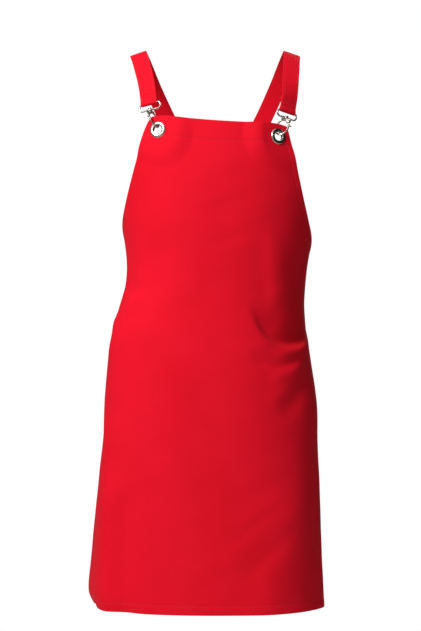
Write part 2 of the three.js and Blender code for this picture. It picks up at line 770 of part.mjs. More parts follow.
function rivetSolid(clasp) {
  const frame = {
    middle: claspPoint(clasp, PIVOT[0], 0, PIVOT[1]),
    facing: clasp.axis.clone().cross(clasp.front).normalize(),
    up: clasp.axis,
  };
  const seat = CHEEK_HALF_DEPTH + CLEARANCE;
  return turned(frame, [
    [0, -seat - 0.7],
    [0.8 * RIVET_HEAD, -seat - 0.5],
    [RIVET_HEAD, -seat],
    [RIVET_RADIUS, -seat],
    [RIVET_RADIUS, seat],
    [RIVET_HEAD, seat],
    [0.8 * RIVET_HEAD, seat + 0.5],
    [0, seat + 0.7],
  ], 10);
}

// Centre line of the bow: across it, and up from its boss. Its lower bar dips beside the boss
function loopLine() {
  const flat = LOOP_HALF_WIDTH - LOOP_HALF_HEIGHT;
  const middle = LOOP_HALF_HEIGHT;
  const line = [];
  const topSteps = 3;
  for (let i = 0; i <= topSteps; i += 1) {
    line.push([flat * (1 - (2 * i) / topSteps), middle + LOOP_HALF_HEIGHT]);
  }
  const endSteps = 7;
  const endHalf = LOOP_HALF_HEIGHT + LOOP_WAVE / 2;
  for (let i = 1; i < endSteps; i += 1) {
    const turn = (Math.PI * i) / endSteps;
    line.push([-flat - LOOP_HALF_HEIGHT * Math.sin(turn), middle - LOOP_WAVE / 2 + endHalf * Math.cos(turn)]);
  }
  const bottomSteps = 10;
  for (let i = 0; i <= bottomSteps; i += 1) {
    const across = flat * ((2 * i) / bottomSteps - 1);
    const dip = 1 - Math.exp(-((across / (0.4 * LOOP_HALF_WIDTH)) ** 2));
    line.push([across, -LOOP_WAVE * dip]);
  }
  for (let i = 1; i < endSteps; i += 1) {
    const turn = (Math.PI * i) / endSteps;
    line.push([flat + LOOP_HALF_HEIGHT * Math.sin(turn), middle - LOOP_WAVE / 2 - endHalf * Math.cos(turn)]);
  }
  return line;
}

// Bow that carries the strap, with the swivel's boss in the middle of its lower bar
function loopSolid(clasp) {
  const sides = 7;
  const centreLine = loopLine();
  const steps = centreLine.length;
  const rings = centreLine.map(([across, up], i) => {
    const [before, after] = [centreLine[(i + steps - 1) % steps], centreLine[(i + 1) % steps]];
    const length = Math.hypot(after[0] - before[0], after[1] - before[1]);
    const tangent = [(after[0] - before[0]) / length, (after[1] - before[1]) / length];
    const ring = [];
    for (let s = 0; s < sides; s += 1) {
      const turn = (2 * Math.PI * (s + 0.5)) / sides;
      const offset = LOOP_WIRE * Math.cos(turn);
      const place = [across - tangent[1] * offset, up + tangent[0] * offset];
      ring.push(bowPoint(clasp.bow, place[0], LOOP_WIRE * Math.sin(turn), place[1]));
    }
    return ring;
  });
  const frame = swivelFrame(clasp, 0);
  const boss = turned(frame, [
    [0, BOSS_BOTTOM],
    [0.85 * BOSS_RADIUS, BOSS_BOTTOM],
    [BOSS_RADIUS, BOSS_BOTTOM + 0.2 * BOSS_HEIGHT],
    [BOSS_RADIUS, BOSS_TOP - 0.2 * BOSS_HEIGHT],
    [0.85 * BOSS_RADIUS, BOSS_TOP],
    [0, BOSS_TOP],
  ], 14);
  const bore = POST_RADIUS + CLEARANCE;
  const hole = turned(frame, [
    [0, BOSS_BOTTOM - 2],
    [bore, BOSS_BOTTOM - 2],
    [bore, BOSS_TOP + 2],
    [0, BOSS_TOP + 2],
  ], 12);
  const room = turned(frame, [
    [0, HEAD_BOTTOM - CLEARANCE],
    [POST_HEAD + CLEARANCE, HEAD_BOTTOM - CLEARANCE],
    [POST_HEAD + CLEARANCE, HEAD_BOTTOM + HEAD_HEIGHT + CLEARANCE],
    [0, HEAD_BOTTOM + HEAD_HEIGHT + CLEARANCE],
  ], 12);
  const bow = toManifold(loft(rings, true)).add(toManifold(boss));
  return toGeometry(bow.subtract(toManifold(hole)).subtract(toManifold(room)));
}

// Centre line of a strap, from its sewn tail behind the clasp's bar to the far back corner
function strapStations(bow, side) {
  const bar = 2 * LOOP_HALF_HEIGHT;
  const turnRadius = LOOP_WIRE + CLEARANCE + STRAP_WALL / 2;
  const ply = (STRAP_WALL + CLEARANCE) / 2;
  const stations = [];
  const local = (ahead, up, facingAhead, facingUp) => {
    const facing = new THREE.Vector3()
      .addScaledVector(bow.ahead, facingAhead)
      .addScaledVector(bow.up, facingUp);
    stations.push({ point: bowPoint(bow, 0, ahead, bar + up), facing });
  };
  const neck = 3.2 * turnRadius;
  local(-ply, STRAP_TAIL, -1, 0);
  local(-ply, 0.5 * (STRAP_TAIL + neck), -1, 0);
  local(-ply, neck, -1, 0);
  local(-0.65 * turnRadius, 1.7 * turnRadius, -0.97, 0.25);
  for (let i = 0; i <= 6; i += 1) {
    const turn = Math.PI + (Math.PI * i) / 6;
    local(turnRadius * Math.cos(turn), turnRadius * Math.sin(turn), Math.cos(turn), Math.sin(turn));
  }
  local(0.65 * turnRadius, 1.7 * turnRadius, 0.97, 0.25);
  local(ply, neck, 1, 0);
  local(ply, 0.5 * (STRAP_TAIL + neck), 1, 0);
  local(ply, STRAP_TAIL, 1, 0);
  const from = stations[stations.length - 1].point.clone();
  const crest = new THREE.Vector3(side * SHOULDER_HALF, 0, -STRAP_WALL / 2);
  for (const [x, y, z, out, ahead, up] of FRONT_RUN) {
    stations.push({
      point: new THREE.Vector3(
        from.x + (crest.x - from.x) * x,
        from.y + (crest.y - from.y) * y,
        from.z + (crest.z - from.z) * z,
      ),
      facing: new THREE.Vector3(side * out, -ahead, up),
    });
  }
  const seam = seamStations(side);
  const end = seam[0].point;
  const lift = side > 0 ? STRAP_WALL + 3 * CLEARANCE : 0;
  for (const [x, y, z, out, behind, up, over] of BACK_RUN) {
    stations.push({
      point: new THREE.Vector3(
        crest.x + (end.x - crest.x) * x,
        TORSO_DEPTH * y + lift * over,
        crest.z + (end.z - crest.z) * z,
      ),
      facing: new THREE.Vector3(side * out, behind, up),
    });
  }
  return [...stations, ...seam];
}

// Last stretch of a strap, sewn on the outer face of the panel's far back corner
function seamStations(side) {
  const start = [-side * (PANEL_HALF_WIDTH - 20), CORNER_DOWN + 2];
  const run = [side * -0.37, 0.93];
  const height = STRAP_WALL / 2 + 2 * CLEARANCE;
  const stations = [];
  for (let i = 0; i <= 3; i += 1) {
    const along = (STRAP_OVERLAP * i) / 3;
    const place = [start[0] - run[0] * along, start[1] + run[1] * along];
    stations.push({
      point: panelOffset(...place, height),
      facing: normalOf(panelPoint, ...place),
    });
  }
  return stations;
}

// Ribbon along smoothed stations
function strapSolid(bow, side) {
  const stations = strapStations(bow, side);
  const curve = new THREE.CatmullRomCurve3(stations.map(({ point }) => point), false, "centripetal");
  const [half, thick] = [STRAP_WIDTH / 2, STRAP_WALL / 2];
  const outline = [
    [-half, 0],
    [-half + 0.7, thick],
    [half - 0.7, thick],
    [half, 0],
    [half - 0.7, -thick],
    [-half + 0.7, -thick],
  ];
  const spans = stations.length - 1;
  const rings = [];
  for (let i = 0; i < spans; i += 1) {
    const parts = stations[i].point.distanceTo(stations[i + 1].point) > 1.2 * STRAP_WIDTH ? 3 : 2;
    const count = i < 14 ? 1 : parts;
    for (let p = 0; p < count + (i === spans - 1 ? 1 : 0); p += 1) {
      const at = (i + p / count) / spans;
      const point = curve.getPoint(at);
      const before = curve.getPoint(Math.max(0, at - 0.002));
      const along = curve.getPoint(Math.min(1, at + 0.002)).sub(before).normalize();
      const next = stations[Math.min(spans, i + 1)];
      const facing = stations[i].facing.clone().lerp(next.facing, p / count);
      facing.addScaledVector(along, -facing.dot(along)).normalize();
      const across = along.clone().cross(facing);
      const place = ([w, t]) => point.clone().addScaledVector(across, w).addScaledVector(facing, t);
      rings.push(outline.map(place));
    }
  }
  return loft(rings);
}

// The part
const apron = new THREE.Group();
apron.name = "cross_back_apron";

function addMesh(name, geometry, look) {
  const mesh = new THREE.Mesh(geometry, new THREE.MeshStandardMaterial(look));
  mesh.name = name;
  mesh.material.name = look === CLOTH ? "cloth" : "nickel";
  apron.add(mesh);
}

addMesh("bib_panel", panelSolid(), CLOTH);
SIDES.forEach((sideData, i) => {
  const eyelet = eyeletFrames[i];
  const clasp = claspFrame(eyelet, sideData);
  addMesh(`strap_${sideData.name}`, strapSolid(clasp.bow, sideData.side), CLOTH);
  addMesh(`eyelet_${sideData.name}`, eyeletSolid(eyelet), NICKEL);
  addMesh(`eyelet_washer_${sideData.name}`, washerSolid(eyelet), NICKEL);
  addMesh(`clasp_loop_${sideData.name}`, loopSolid(clasp), NICKEL);
  addMesh(`clasp_claw_${sideData.name}`, clawSolid(clasp), NICKEL);
  addMesh(`clasp_gate_${sideData.name}`, gateSolid(clasp), NICKEL);
  addMesh(`clasp_rivet_${sideData.name}`, rivetSolid(clasp), NICKEL);
});

export default apron;
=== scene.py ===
import math

import bmesh
import bpy
import numpy as np
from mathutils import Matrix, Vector


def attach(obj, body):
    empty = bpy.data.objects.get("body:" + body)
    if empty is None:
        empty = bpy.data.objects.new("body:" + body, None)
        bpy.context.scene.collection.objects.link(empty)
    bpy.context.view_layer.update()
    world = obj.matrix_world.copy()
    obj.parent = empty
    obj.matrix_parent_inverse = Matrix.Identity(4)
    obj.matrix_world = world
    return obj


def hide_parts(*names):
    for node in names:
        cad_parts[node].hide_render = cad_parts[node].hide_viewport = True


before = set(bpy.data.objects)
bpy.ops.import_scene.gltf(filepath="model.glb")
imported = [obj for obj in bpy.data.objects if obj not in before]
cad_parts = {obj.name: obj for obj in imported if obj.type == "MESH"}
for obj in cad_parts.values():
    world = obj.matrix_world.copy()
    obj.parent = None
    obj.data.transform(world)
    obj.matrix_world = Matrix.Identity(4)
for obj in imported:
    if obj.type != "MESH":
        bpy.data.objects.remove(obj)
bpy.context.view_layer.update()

MM_PER_M = 1000

# Sizes of the cloth
CLEARANCE = 0.3
CLOTH_WALL = 1.2
HEM_WALL = 2.0
TOP_HEM = 33
SIDE_HEM = 12
BOTTOM_HEM = 16
PANEL_LENGTH = 778
PANEL_HALF_WIDTH = 350
CORNER_DOWN = 236
BIB_TOP_DROP = 120.5
BIB_SLOPE = 0.067
BIB_SLOPE_REACH = 350
BIB_SAG = 5
CORNER_DROOP = 5
TORSO_HALF_WIDTH = 180
TORSO_DEPTH = 120
TORSO_SQUARENESS = 2.2
FOLD_HEIGHT = 10
FOLD_FADE = 0.3
CREASE_FADE = 0.35
CREASE_STEPS = 25
HEM_RISE = 0.25
SLOW_WAVE = 0.35
QUICK_WAVE = 0.18

# Sizes of the sewing
HEM_STITCH = 1.8
TOPSTITCH = 3.2
FOLD_SEAMS = (11, 18)
STITCH_LENGTH = 2.7
STITCH_GAP = 1.1
STITCH_RADIUS = 0.33
GROOVE_DEPTH = 0.38
PUCKER_HEIGHT = 0.2

# Points of the finer meshes
GRID_MARGIN = 12
MEASURE_STEPS = 240
EDGE_PLACES = [0, 0.25, 0.6, 1.2, 2.2]
PANEL_ROWS = 184
PANEL_COLUMNS = 153
STRAP_STEPS = 420

# Sizes of the straps
STRAP_WIDTH = 28
STRAP_HALF = STRAP_WIDTH / 2
STRAP_WALL = 1.8
STRAP_TAIL = 24
STRAP_OVERLAP = 38
SEAM_INSET = 20
SEAM_RUN = (0.37, 0.93)
FOLD_STATION = 7
REAR_SHIFT = 300
SHOULDER_HALF = 125

# Sizes of the eyelets
EYELET_HOLE = 7.25
EYELET_BARREL = 0.9
EYELET_FLANGE = 13
EYELET_DOME = 1.6
WASHER_RADIUS = 10.9
WASHER_WALL = 0.7
CURL_REACH = 1.7
CURL_WALL = 0.8
EYELET_FLAT = 27
EYELET_BLEND = 60
EYELET_PITCH = 8
HOLE_PLAY = 0.5

# Sizes of the clasps
WIRE_RADIUS = 1.5
NOSE_RADIUS = 1.2
RING_HALF_WIDTH = 10.6
RING_HEIGHT = 28.5
SHOULDER_HEIGHT = 3
CHEEK_HALF_DEPTH = 2.5
GATE_HALF_DEPTH = 0.9
HUB_RADIUS = 2.2
RIVET_RADIUS = 0.75
RIVET_HEAD = 1.45
POST_RADIUS = 1.4
POST_HEAD = 2.6
HEAD_HEIGHT = 1.4
BOSS_RADIUS = 3.3
BOSS_HEIGHT = 3.6
LOOP_WIRE = 1.4
LOOP_HALF_WIDTH = 17.8
LOOP_HALF_HEIGHT = 5.2
LOOP_WAVE = 0.8
RING_SPLIT = 115
GATE_START = 62
TAB_REACH = 4.8
TAB_ANGLE = 72

# The hollow that the panel wraps: shares of PANEL_LENGTH down, of TORSO_HALF_WIDTH to the
# worn right and left, and of TORSO_DEPTH ahead and behind
TORSO = [
    # down, right side, left side, ahead, behind
    [0.0, 1.0, 1.033, 0.965, 0.9],
    [0.041, 0.972, 1.011, 1.0, 0.9],
    [0.103, 0.92, 0.97, 1.035, 0.88],
    [0.207, 0.85, 0.9, 1.03, 0.83],
    [0.279, 0.8, 0.842, 0.99, 0.79],
    [0.331, 0.806, 0.815, 0.965, 0.77],
    [0.372, 0.86, 0.808, 0.96, 0.79],
    [0.435, 0.936, 0.83, 0.975, 0.86],
    [0.497, 0.972, 0.872, 0.98, 0.92],
    [0.579, 1.0, 0.925, 0.975, 0.95],
    [0.683, 1.045, 0.962, 0.955, 0.95],
    [0.807, 1.095, 0.982, 0.935, 0.93],
    [0.911, 1.13, 0.998, 0.93, 0.92],
    [0.973, 1.145, 1.01, 0.935, 0.92],
    [1.0, 1.105, 1.015, 0.94, 0.925],
]

# Free side edges: shares of PANEL_LENGTH down and of PANEL_HALF_WIDTH along the cloth
EDGES = [
    # down, right side, left side
    [0.0, 0.294, 0.338],
    [0.01, 0.311, 0.346],
    [0.031, 0.332, 0.358],
    [0.057, 0.352, 0.375],
    [0.083, 0.373, 0.391],
    [0.114, 0.404, 0.413],
    [0.145, 0.438, 0.439],
    [0.176, 0.48, 0.472],
    [0.202, 0.53, 0.51],
    [0.228, 0.605, 0.57],
    [0.259, 0.72, 0.68],
    [0.285, 0.86, 0.82],
    [CORNER_DOWN / PANEL_LENGTH, 1.0, 1.0],
]

# Ridges (+) and valleys (-) of the cloth: ends as shares of PANEL_HALF_WIDTH and
# PANEL_LENGTH, width as a share of PANEL_HALF_WIDTH, height as a share of FOLD_HEIGHT
FOLDS = [
    # across 1, down 1, across 2, down 2, width, height
    [-0.6, 0.419, -0.36, 0.357, 0.04, 0.3],
    [-0.58, 0.388, -0.4, 0.336, 0.04, -0.25],
    [-0.6, 0.476, -0.3, 0.414, 0.06, 0.25],
    [0.24, 1.0, 0.36, 0.76, 0.1, 0.45],
    [0.52, 1.0, 0.56, 0.621, 0.1, -0.45],
    [-0.52, 1.0, -0.52, 0.724, 0.06, 0.5],
    [-0.42, 1.0, -0.43, 0.766, 0.06, -0.4],
    [0.0, 0.166, 0.06, 0.248, 0.1, -0.15],
    [0.86, 1.0, 0.84, 0.517, 0.09, 0.7],
    [-0.86, 1.0, -0.84, 0.517, 0.09, 0.7],
    [0.7, 1.0, 0.7, 0.621, 0.08, -0.6],
    [-0.7, 1.0, -0.7, 0.621, 0.08, -0.6],
]

# Curved creases of the hips and skirt: three places along each, its widths to the left
# and to the right of the way that it runs, and its height, in the same shares
CREASES = [
    # across 1, down 1, across 2, down 2, across 3, down 3, left, right, height
    [0.17, 0.35, 0.315, 0.446, 0.64, 0.411, 0.085, 0.02, -1.0],
    [0.26, 0.2, 0.28, 0.31, 0.29, 0.42, 0.11, 0.05, 0.45],
    [0.27, 0.461, 0.4, 0.468, 0.64, 0.426, 0.02, 0.045, 0.4],
    [0.16, 0.461, 0.29, 0.494, 0.56, 0.456, 0.04, 0.02, -0.25],
    [0.24, 0.516, 0.34, 0.512, 0.52, 0.471, 0.02, 0.05, 0.3],
    [0.3, 0.62, 0.4, 0.56, 0.56, 0.5, 0.05, 0.05, -0.3],
    [0.22, 0.57, 0.3, 0.555, 0.4, 0.53, 0.03, 0.04, 0.12],
    [0.02, 0.92, 0.16, 0.85, 0.36, 0.78, 0.04, 0.04, 0.14],
    [0.08, 0.96, 0.24, 0.88, 0.42, 0.81, 0.03, 0.04, -0.12],
    [0.06, 0.84, 0.2, 0.79, 0.36, 0.75, 0.03, 0.03, 0.1],
    [-0.5, 0.398, -0.44, 0.372, -0.38, 0.347, 0.014, 0.014, 0.08],
    [-0.56, 0.424, -0.49, 0.4, -0.42, 0.378, 0.014, 0.014, -0.07],
]

# What differs from side to side: 1 is +X, the worn left. Places are shares of
# PANEL_HALF_WIDTH across, and angles are in degrees against the cloth round the eyelet
SIDES = [
    dict(
        name="left", side=1, across=0.289, down=20.5, yaw=31,
        lean=30.5, pitch=-2, ring=52, rise=4.0, tilt=17,
    ),
    dict(
        name="right", side=-1, across=0.262, down=22.9, yaw=22,
        lean=25.5, pitch=1, ring=77, rise=5.0, tilt=14,
    ),
]

# Run of a strap from its clasp up to the crest: shares of that run, then the way the
# cloth faces (out to its side, ahead, up)
FRONT_RUN = [
    # x, y, z, out, ahead, up
    [0.22, 0.12, 0.3, 0.35, 0.85, 0.4],
    [0.48, 0.3, 0.56, 0.35, 0.75, 0.6],
    [0.74, 0.56, 0.8, 0.35, 0.5, 0.8],
    [1.0, 1.0, 1.0, 0.32, 0.0, 0.95],
]

# Run of a strap from the crest down to the far back corner: x as a share of the way
# across, y of TORSO_DEPTH, z of the drop, then the way it faces and how far it rides over
BACK_RUN = [
    # x, y, z, out, behind, up, over
    [0.04, 0.32, 0.045, 0.38, 0.45, 0.85, 0],
    [0.12, 0.6, 0.15, 0.3, 0.8, 0.5, 0],
    [0.27, 0.83, 0.32, 0.18, 0.95, 0.2, 0],
    [0.47, 0.95, 0.5, 0.08, 1.0, 0.08, 0.3],
    [0.57, 0.965, 0.595, 0.03, 1.0, 0.0, 1],
    [0.67, 0.96, 0.69, -0.03, 1.0, -0.02, 1],
    [0.77, 0.925, 0.785, -0.12, 1.0, -0.04, 0.3],
    [0.89, 0.84, 0.88, -0.2, 1.0, -0.06, 0],
]


# Small helpers
def ease(value):
    t = np.clip(value, 0, 1)
    return t * t * (3 - 2 * t)


def bell(away, reach):
    return np.exp(-((away / reach) ** 2))


def quarter_round(share):
    """Height of a quarter circle, as its edge is left behind."""
    return np.sqrt(1 - (1 - np.clip(share, 0, 1)) ** 2)


def unit(vector):
    vector = np.asarray(vector, float)
    return vector / np.linalg.norm(vector, axis=-1, keepdims=True)


def full_turn(sides, start=0):
    return 2 * np.pi * (np.arange(sides) + start) / sides


def running_length(points):
    steps = np.linalg.norm(np.diff(points, axis=0), axis=1)
    return np.concatenate([[0], np.cumsum(steps)])


def between(place, places, rows):
    """Rows of three numbers at a place between the places that they are given for."""
    return np.stack([np.interp(place, places, rows[:, i]) for i in range(3)], axis=-1)


def turn_about(vector, axis, degrees):
    """A vector turned about a unit axis by the right-hand rule."""
    angle = math.radians(degrees)
    return (
        vector * math.cos(angle)
        + np.cross(axis, vector) * math.sin(angle)
        + axis * np.dot(axis, vector) * (1 - math.cos(angle))
    )


def read_table(table, at, column):
    """Column of a table at places, smoothly between its rows."""
    x = np.array([row[0] for row in table])
    y = np.array([row[column] for row in table])
    last = len(x) - 1
    before = np.maximum(np.arange(last + 1) - 1, 0)
    after = np.minimum(np.arange(last + 1) + 1, last)
    slope = (y[after] - y[before]) / (x[after] - x[before])
    at = np.clip(at, x[0], x[-1])
    row = np.clip(np.searchsorted(x, at) - 1, 0, last - 1)
    span = x[row + 1] - x[row]
    t = (at - x[row]) / span
    return (
        (2 * t**3 - 3 * t**2 + 1) * y[row]
        + (t**3 - 2 * t**2 + t) * span * slope[row]
        + (3 * t**2 - 2 * t**3) * y[row + 1]
        + (t**3 - t**2) * span * slope[row + 1]
    )


# Cloth of the panel, worked out once on a grid of one millimetre along the cloth
ACROSS = np.arange(-PANEL_HALF_WIDTH - GRID_MARGIN, PANEL_HALF_WIDTH + GRID_MARGIN + 0.5, 1.0)
DOWN = np.arange(-GRID_MARGIN, PANEL_LENGTH + GRID_MARGIN + 0.5, 1.0)


def section_xy(sizes, angle):
    """Places on the level section of the hollow, at angles from its front."""
    power = 2 / TORSO_SQUARENESS
    right, left, ahead, behind = sizes
    sine, cosine = np.sin(angle), np.cos(angle)
    width = np.where(sine < 0, right, left)
    depth = np.where(cosine < 0, behind, ahead)
    x = np.sign(sine) * width * np.abs(sine) ** power
    y = -np.sign(cosine) * depth * np.abs(cosine) ** power
    return x, y


def edge_at(down, side):
    """Distance from the panel's middle line to its free edge, along the cloth."""
    share = np.asarray(down, float) / PANEL_LENGTH
    return read_table(EDGES, share, 1 if side < 0 else 2) * PANEL_HALF_WIDTH


def side_gaps(across, down):
    """Distances from the panel's left and right edges."""
    return edge_at(down, 1) - across, across + edge_at(down, -1)


def wrapped_grid():
    """The cloth without folds, wrapped round the hollow so that it keeps its lengths."""
    grid = np.empty((len(DOWN), len(ACROSS), 3))
    steps = np.linspace(0, math.pi, MEASURE_STEPS + 1)
    scales = [TORSO_HALF_WIDTH, TORSO_HALF_WIDTH, TORSO_DEPTH, TORSO_DEPTH]
    columns = [read_table(TORSO, DOWN / PANEL_LENGTH, i + 1) * scales[i] for i in range(4)]
    for side in (-1, 1):
        picked = ACROSS * side > 0 if side < 0 else ACROSS >= 0
        wanted = np.abs(ACROSS[picked])
        edge = edge_at(DOWN, side)
        for row, down in enumerate(DOWN):
            sizes = [column[row] for column in columns]
            x, y = section_xy(sizes, side * steps)
            lengths = np.concatenate([[0], np.cumsum(np.hypot(np.diff(x), np.diff(y)))])
            x, y = section_xy(sizes, side * np.interp(wanted, lengths, steps))
            share = np.minimum(1, wanted / edge[row])
            fade = 1 - ease(down / BIB_SLOPE_REACH)
            shape = BIB_SAG * share**2 - CORNER_DROOP * share**10
            z = -BIB_TOP_DROP - down + (shape - BIB_SLOPE * x) * fade
            grid[row, picked] = np.stack([x, y, z], axis=-1)
    return grid


def fold_height(across, down):
    """Heights of the straight ridges and valleys, faded towards their ends."""
    height = np.zeros_like(across)
    for a1, d1, a2, d2, width, share in FOLDS:
        start = (a1 * PANEL_HALF_WIDTH, d1 * PANEL_LENGTH)
        run = (a2 * PANEL_HALF_WIDTH - start[0], d2 * PANEL_LENGTH - start[1])
        length = math.hypot(*run)
        x, y = across - start[0], down - start[1]
        along = (x * run[0] + y * run[1]) / length
        away = (x * run[1] - y * run[0]) / length
        opening = ease(along / (FOLD_FADE * length) + (1 if d1 >= 1 else 0.5))
        closing = ease((length - along) / (FOLD_FADE * length) + 0.5)
        height += share * FOLD_HEIGHT * opening * closing * bell(away, width * PANEL_HALF_WIDTH)
    return height


def crease_height(across, down):
    """Heights of the curved creases, each along an even curve through its three places."""
    height = np.zeros_like(across)
    t = np.linspace(0, 1, CREASE_STEPS)
    weights = np.stack([(1 - t) * (1 - 2 * t), 4 * t * (1 - t), t * (2 * t - 1)])
    for *places, left, right, share in CREASES:
        x = np.array(places[0::2]) * PANEL_HALF_WIDTH @ weights
        y = np.array(places[1::2]) * PANEL_LENGTH @ weights
        way = unit(np.stack([np.gradient(x), np.gradient(y)], axis=-1))
        reach = 3 * max(left, right) * PANEL_HALF_WIDTH
        near = (across > x.min() - reach) & (across < x.max() + reach)
        near &= (down > y.min() - reach) & (down < y.max() + reach)
        gap_x = across[near][:, None] - x
        gap_y = down[near][:, None] - y
        nearest = np.argmin(np.hypot(gap_x, gap_y), axis=1)
        every = np.arange(len(nearest))
        gap_x, gap_y = gap_x[every, nearest], gap_y[every, nearest]
        along = gap_x * way[nearest, 0] + gap_y * way[nearest, 1]
        away = gap_x * way[nearest, 1] - gap_y * way[nearest, 0]
        place = t[nearest] + along / np.hypot(np.diff(x), np.diff(y)).sum()
        fade = ease(place / CREASE_FADE) * ease((1 - place) / CREASE_FADE)
        width = np.where(away > 0, left, right) * PANEL_HALF_WIDTH
        height[near] += share * FOLD_HEIGHT * fade * bell(away, width)
    return height


def grid_normals(grid):
    return unit(np.cross(np.gradient(grid, axis=0), np.gradient(grid, axis=1)))


def read_grid(grid, across, down):
    """A grid's values at places of the cloth, between its points."""
    across, down = np.asarray(across, float), np.asarray(down, float)
    column = np.clip(across - ACROSS[0], 0, len(ACROSS) - 1.001)
    row = np.clip(down - DOWN[0], 0, len(DOWN) - 1.001)
    c, r = column.astype(int), row.astype(int)
    u, v = (column - c)[..., None], (row - r)[..., None]
    top = grid[r, c] * (1 - u) + grid[r, c + 1] * u
    low = grid[r + 1, c] * (1 - u) + grid[r + 1, c + 1] * u
    return top * (1 - v) + low * v


GRID_ACROSS, GRID_DOWN = np.meshgrid(ACROSS, DOWN)
wrapped = wrapped_grid()
bends = fold_height(GRID_ACROSS, GRID_DOWN) + crease_height(GRID_ACROSS, GRID_DOWN)
cloth = wrapped + grid_normals(wrapped) * bends[..., None]


def eyelet_frame(side, across, down, yaw, **rest):
    """Flat frame of an eyelet: its middle, the way it faces, up along it and outwards."""
    place = (side * across * PANEL_HALF_WIDTH, down)
    yaw, pitch = math.radians(yaw), math.radians(EYELET_PITCH)
    level = math.cos(pitch)
    facing = np.array([side * math.sin(yaw) * level, -math.cos(yaw) * level, math.sin(pitch)])
    up = unit(np.array([0, 0, 1]) - facing * facing[2])
    out = unit(np.cross(up, facing) * side)
    middle = read_grid(cloth, *place)
    return dict(place=place, middle=middle, facing=facing, up=up, out=out)


def from_eyelet(eyelet, across, down):
    """Steps across and down from an eyelet's middle, and the distance."""
    x, y = across - eyelet["place"][0], down - eyelet["place"][1]
    return x, y, np.hypot(x, y)


EYELETS = [eyelet_frame(**side) for side in SIDES]
for eyelet in EYELETS:
    _, _, away = from_eyelet(eyelet, GRID_ACROSS, GRID_DOWN)
    share = 1 - ease((away - EYELET_FLAT) / (EYELET_BLEND - EYELET_FLAT))
    height = (cloth - eyelet["middle"]) @ eyelet["facing"]
    cloth = cloth - (height * share)[..., None] * eyelet["facing"]
flat_normals = grid_normals(cloth)


# Meshes are gathered as arrays of points, faces and two coordinates along the cloth
class Shape:
    def __init__(self):
        self.points, self.faces, self.places = [], [], []
        self.count = 0

    def add(self, points, faces, places=None):
        points = np.asarray(points, float).reshape(-1, 3)
        self.points.append(points)
        self.faces += [[index + self.count for index in face] for face in faces]
        self.places.append(np.zeros((len(points), 2)) if places is None else np.asarray(places))
        self.count += len(points)
        return self


def face_outwards(mesh, weld=0.0):
    """Turns the faces outwards, once points nearer than weld are joined."""
    work = bmesh.new()
    work.from_mesh(mesh)
    if weld:
        bmesh.ops.remove_doubles(work, verts=work.verts, dist=weld / MM_PER_M)
    bmesh.ops.recalc_face_normals(work, faces=work.faces)
    work.to_mesh(mesh)
    work.free()


def new_object(name, data):
    item = bpy.data.objects.new(name, data)
    bpy.context.scene.collection.objects.link(item)
    return item


def make(name, shape, body, material, sharp=None, weld=0.0):
    """An object from a shape, in metres, smooth-shaded, riding on a CAD body."""
    mesh = bpy.data.meshes.new(name)
    points = np.concatenate(shape.points) / MM_PER_M
    mesh.from_pydata(points.tolist(), [], shape.faces)
    uv = mesh.uv_layers.new(name="cloth")
    places = np.concatenate(shape.places) / MM_PER_M
    corners = np.empty(len(mesh.loops), dtype=np.int32)
    mesh.loops.foreach_get("vertex_index", corners)
    uv.data.foreach_set("uv", places[corners].astype(np.float32).ravel())
    face_outwards(mesh, weld)
    mesh.shade_smooth()
    if sharp:
        mesh.set_sharp_from_angle(angle=math.radians(sharp))
    mesh.materials.append(material)
    piece = new_object(name, mesh)
    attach(piece, body)
    return piece


def loft(rings, closed=False):
    """Points and faces of a solid through rings that each have as many points."""
    rings = np.asarray(rings)
    count, sides = rings.shape[:2]
    faces = []
    for ring in range(count if closed else count - 1):
        here, after = ring * sides, (ring + 1) % count * sides
        for i in range(sides):
            beside = (i + 1) % sides
            faces.append([here + i, here + beside, after + beside, after + i])
    if not closed:
        faces.append(list(range(sides))[::-1])
        faces.append([(count - 1) * sides + s for s in range(sides)])
    return rings.reshape(-1, 3), faces


# The panel
def edge_places(band):
    """Distances from a cut edge of the lines of points over its hem."""
    stitch = band - HEM_STITCH
    sewn_places = [0.5 * stitch, stitch - 3, stitch - 1.4, stitch, stitch + 1.4]
    return EDGE_PLACES + sewn_places + [band + 1, band + 3]


def panel_rows():
    top = EDGE_PLACES + list(np.arange(5, TOP_HEM - 4, 3.2))
    top += [TOP_HEM + place for place in (-3.2, -HEM_STITCH, -0.4, 1, 3)]
    low = [PANEL_LENGTH - place for place in edge_places(BOTTOM_HEM)][::-1]
    middle = np.linspace(top[-1] + 3, low[0] - 2, PANEL_ROWS + 1)[:-1]
    return np.concatenate([top, middle, low])


def panel_columns(down):
    right, left = -edge_at(down, -1), edge_at(down, 1)
    hem = np.array(edge_places(SIDE_HEM))
    middle = np.linspace(right + hem[-1], left - hem[-1], PANEL_COLUMNS)[1:-1]
    return np.concatenate([right + hem, middle, (left - hem)[::-1]])


def ripple(place, seed):
    """A smooth, uneven wave along a length, from -1 to 1."""
    return (
        np.sin(place / 2.3 + seed)
        + 0.8 * np.sin(place / 3.7 + 2.1 * seed)
        + 0.6 * np.sin(place / 7.9 + 4.3 * seed)
    ) / 2.4


def sewn(away, place, seed):
    """Height of cloth beside a line of stitches: a groove, with puckers across it."""
    return -GROOVE_DEPTH * bell(away, 1.5) + PUCKER_HEIGHT * ripple(place, seed) * bell(away, 6.5)


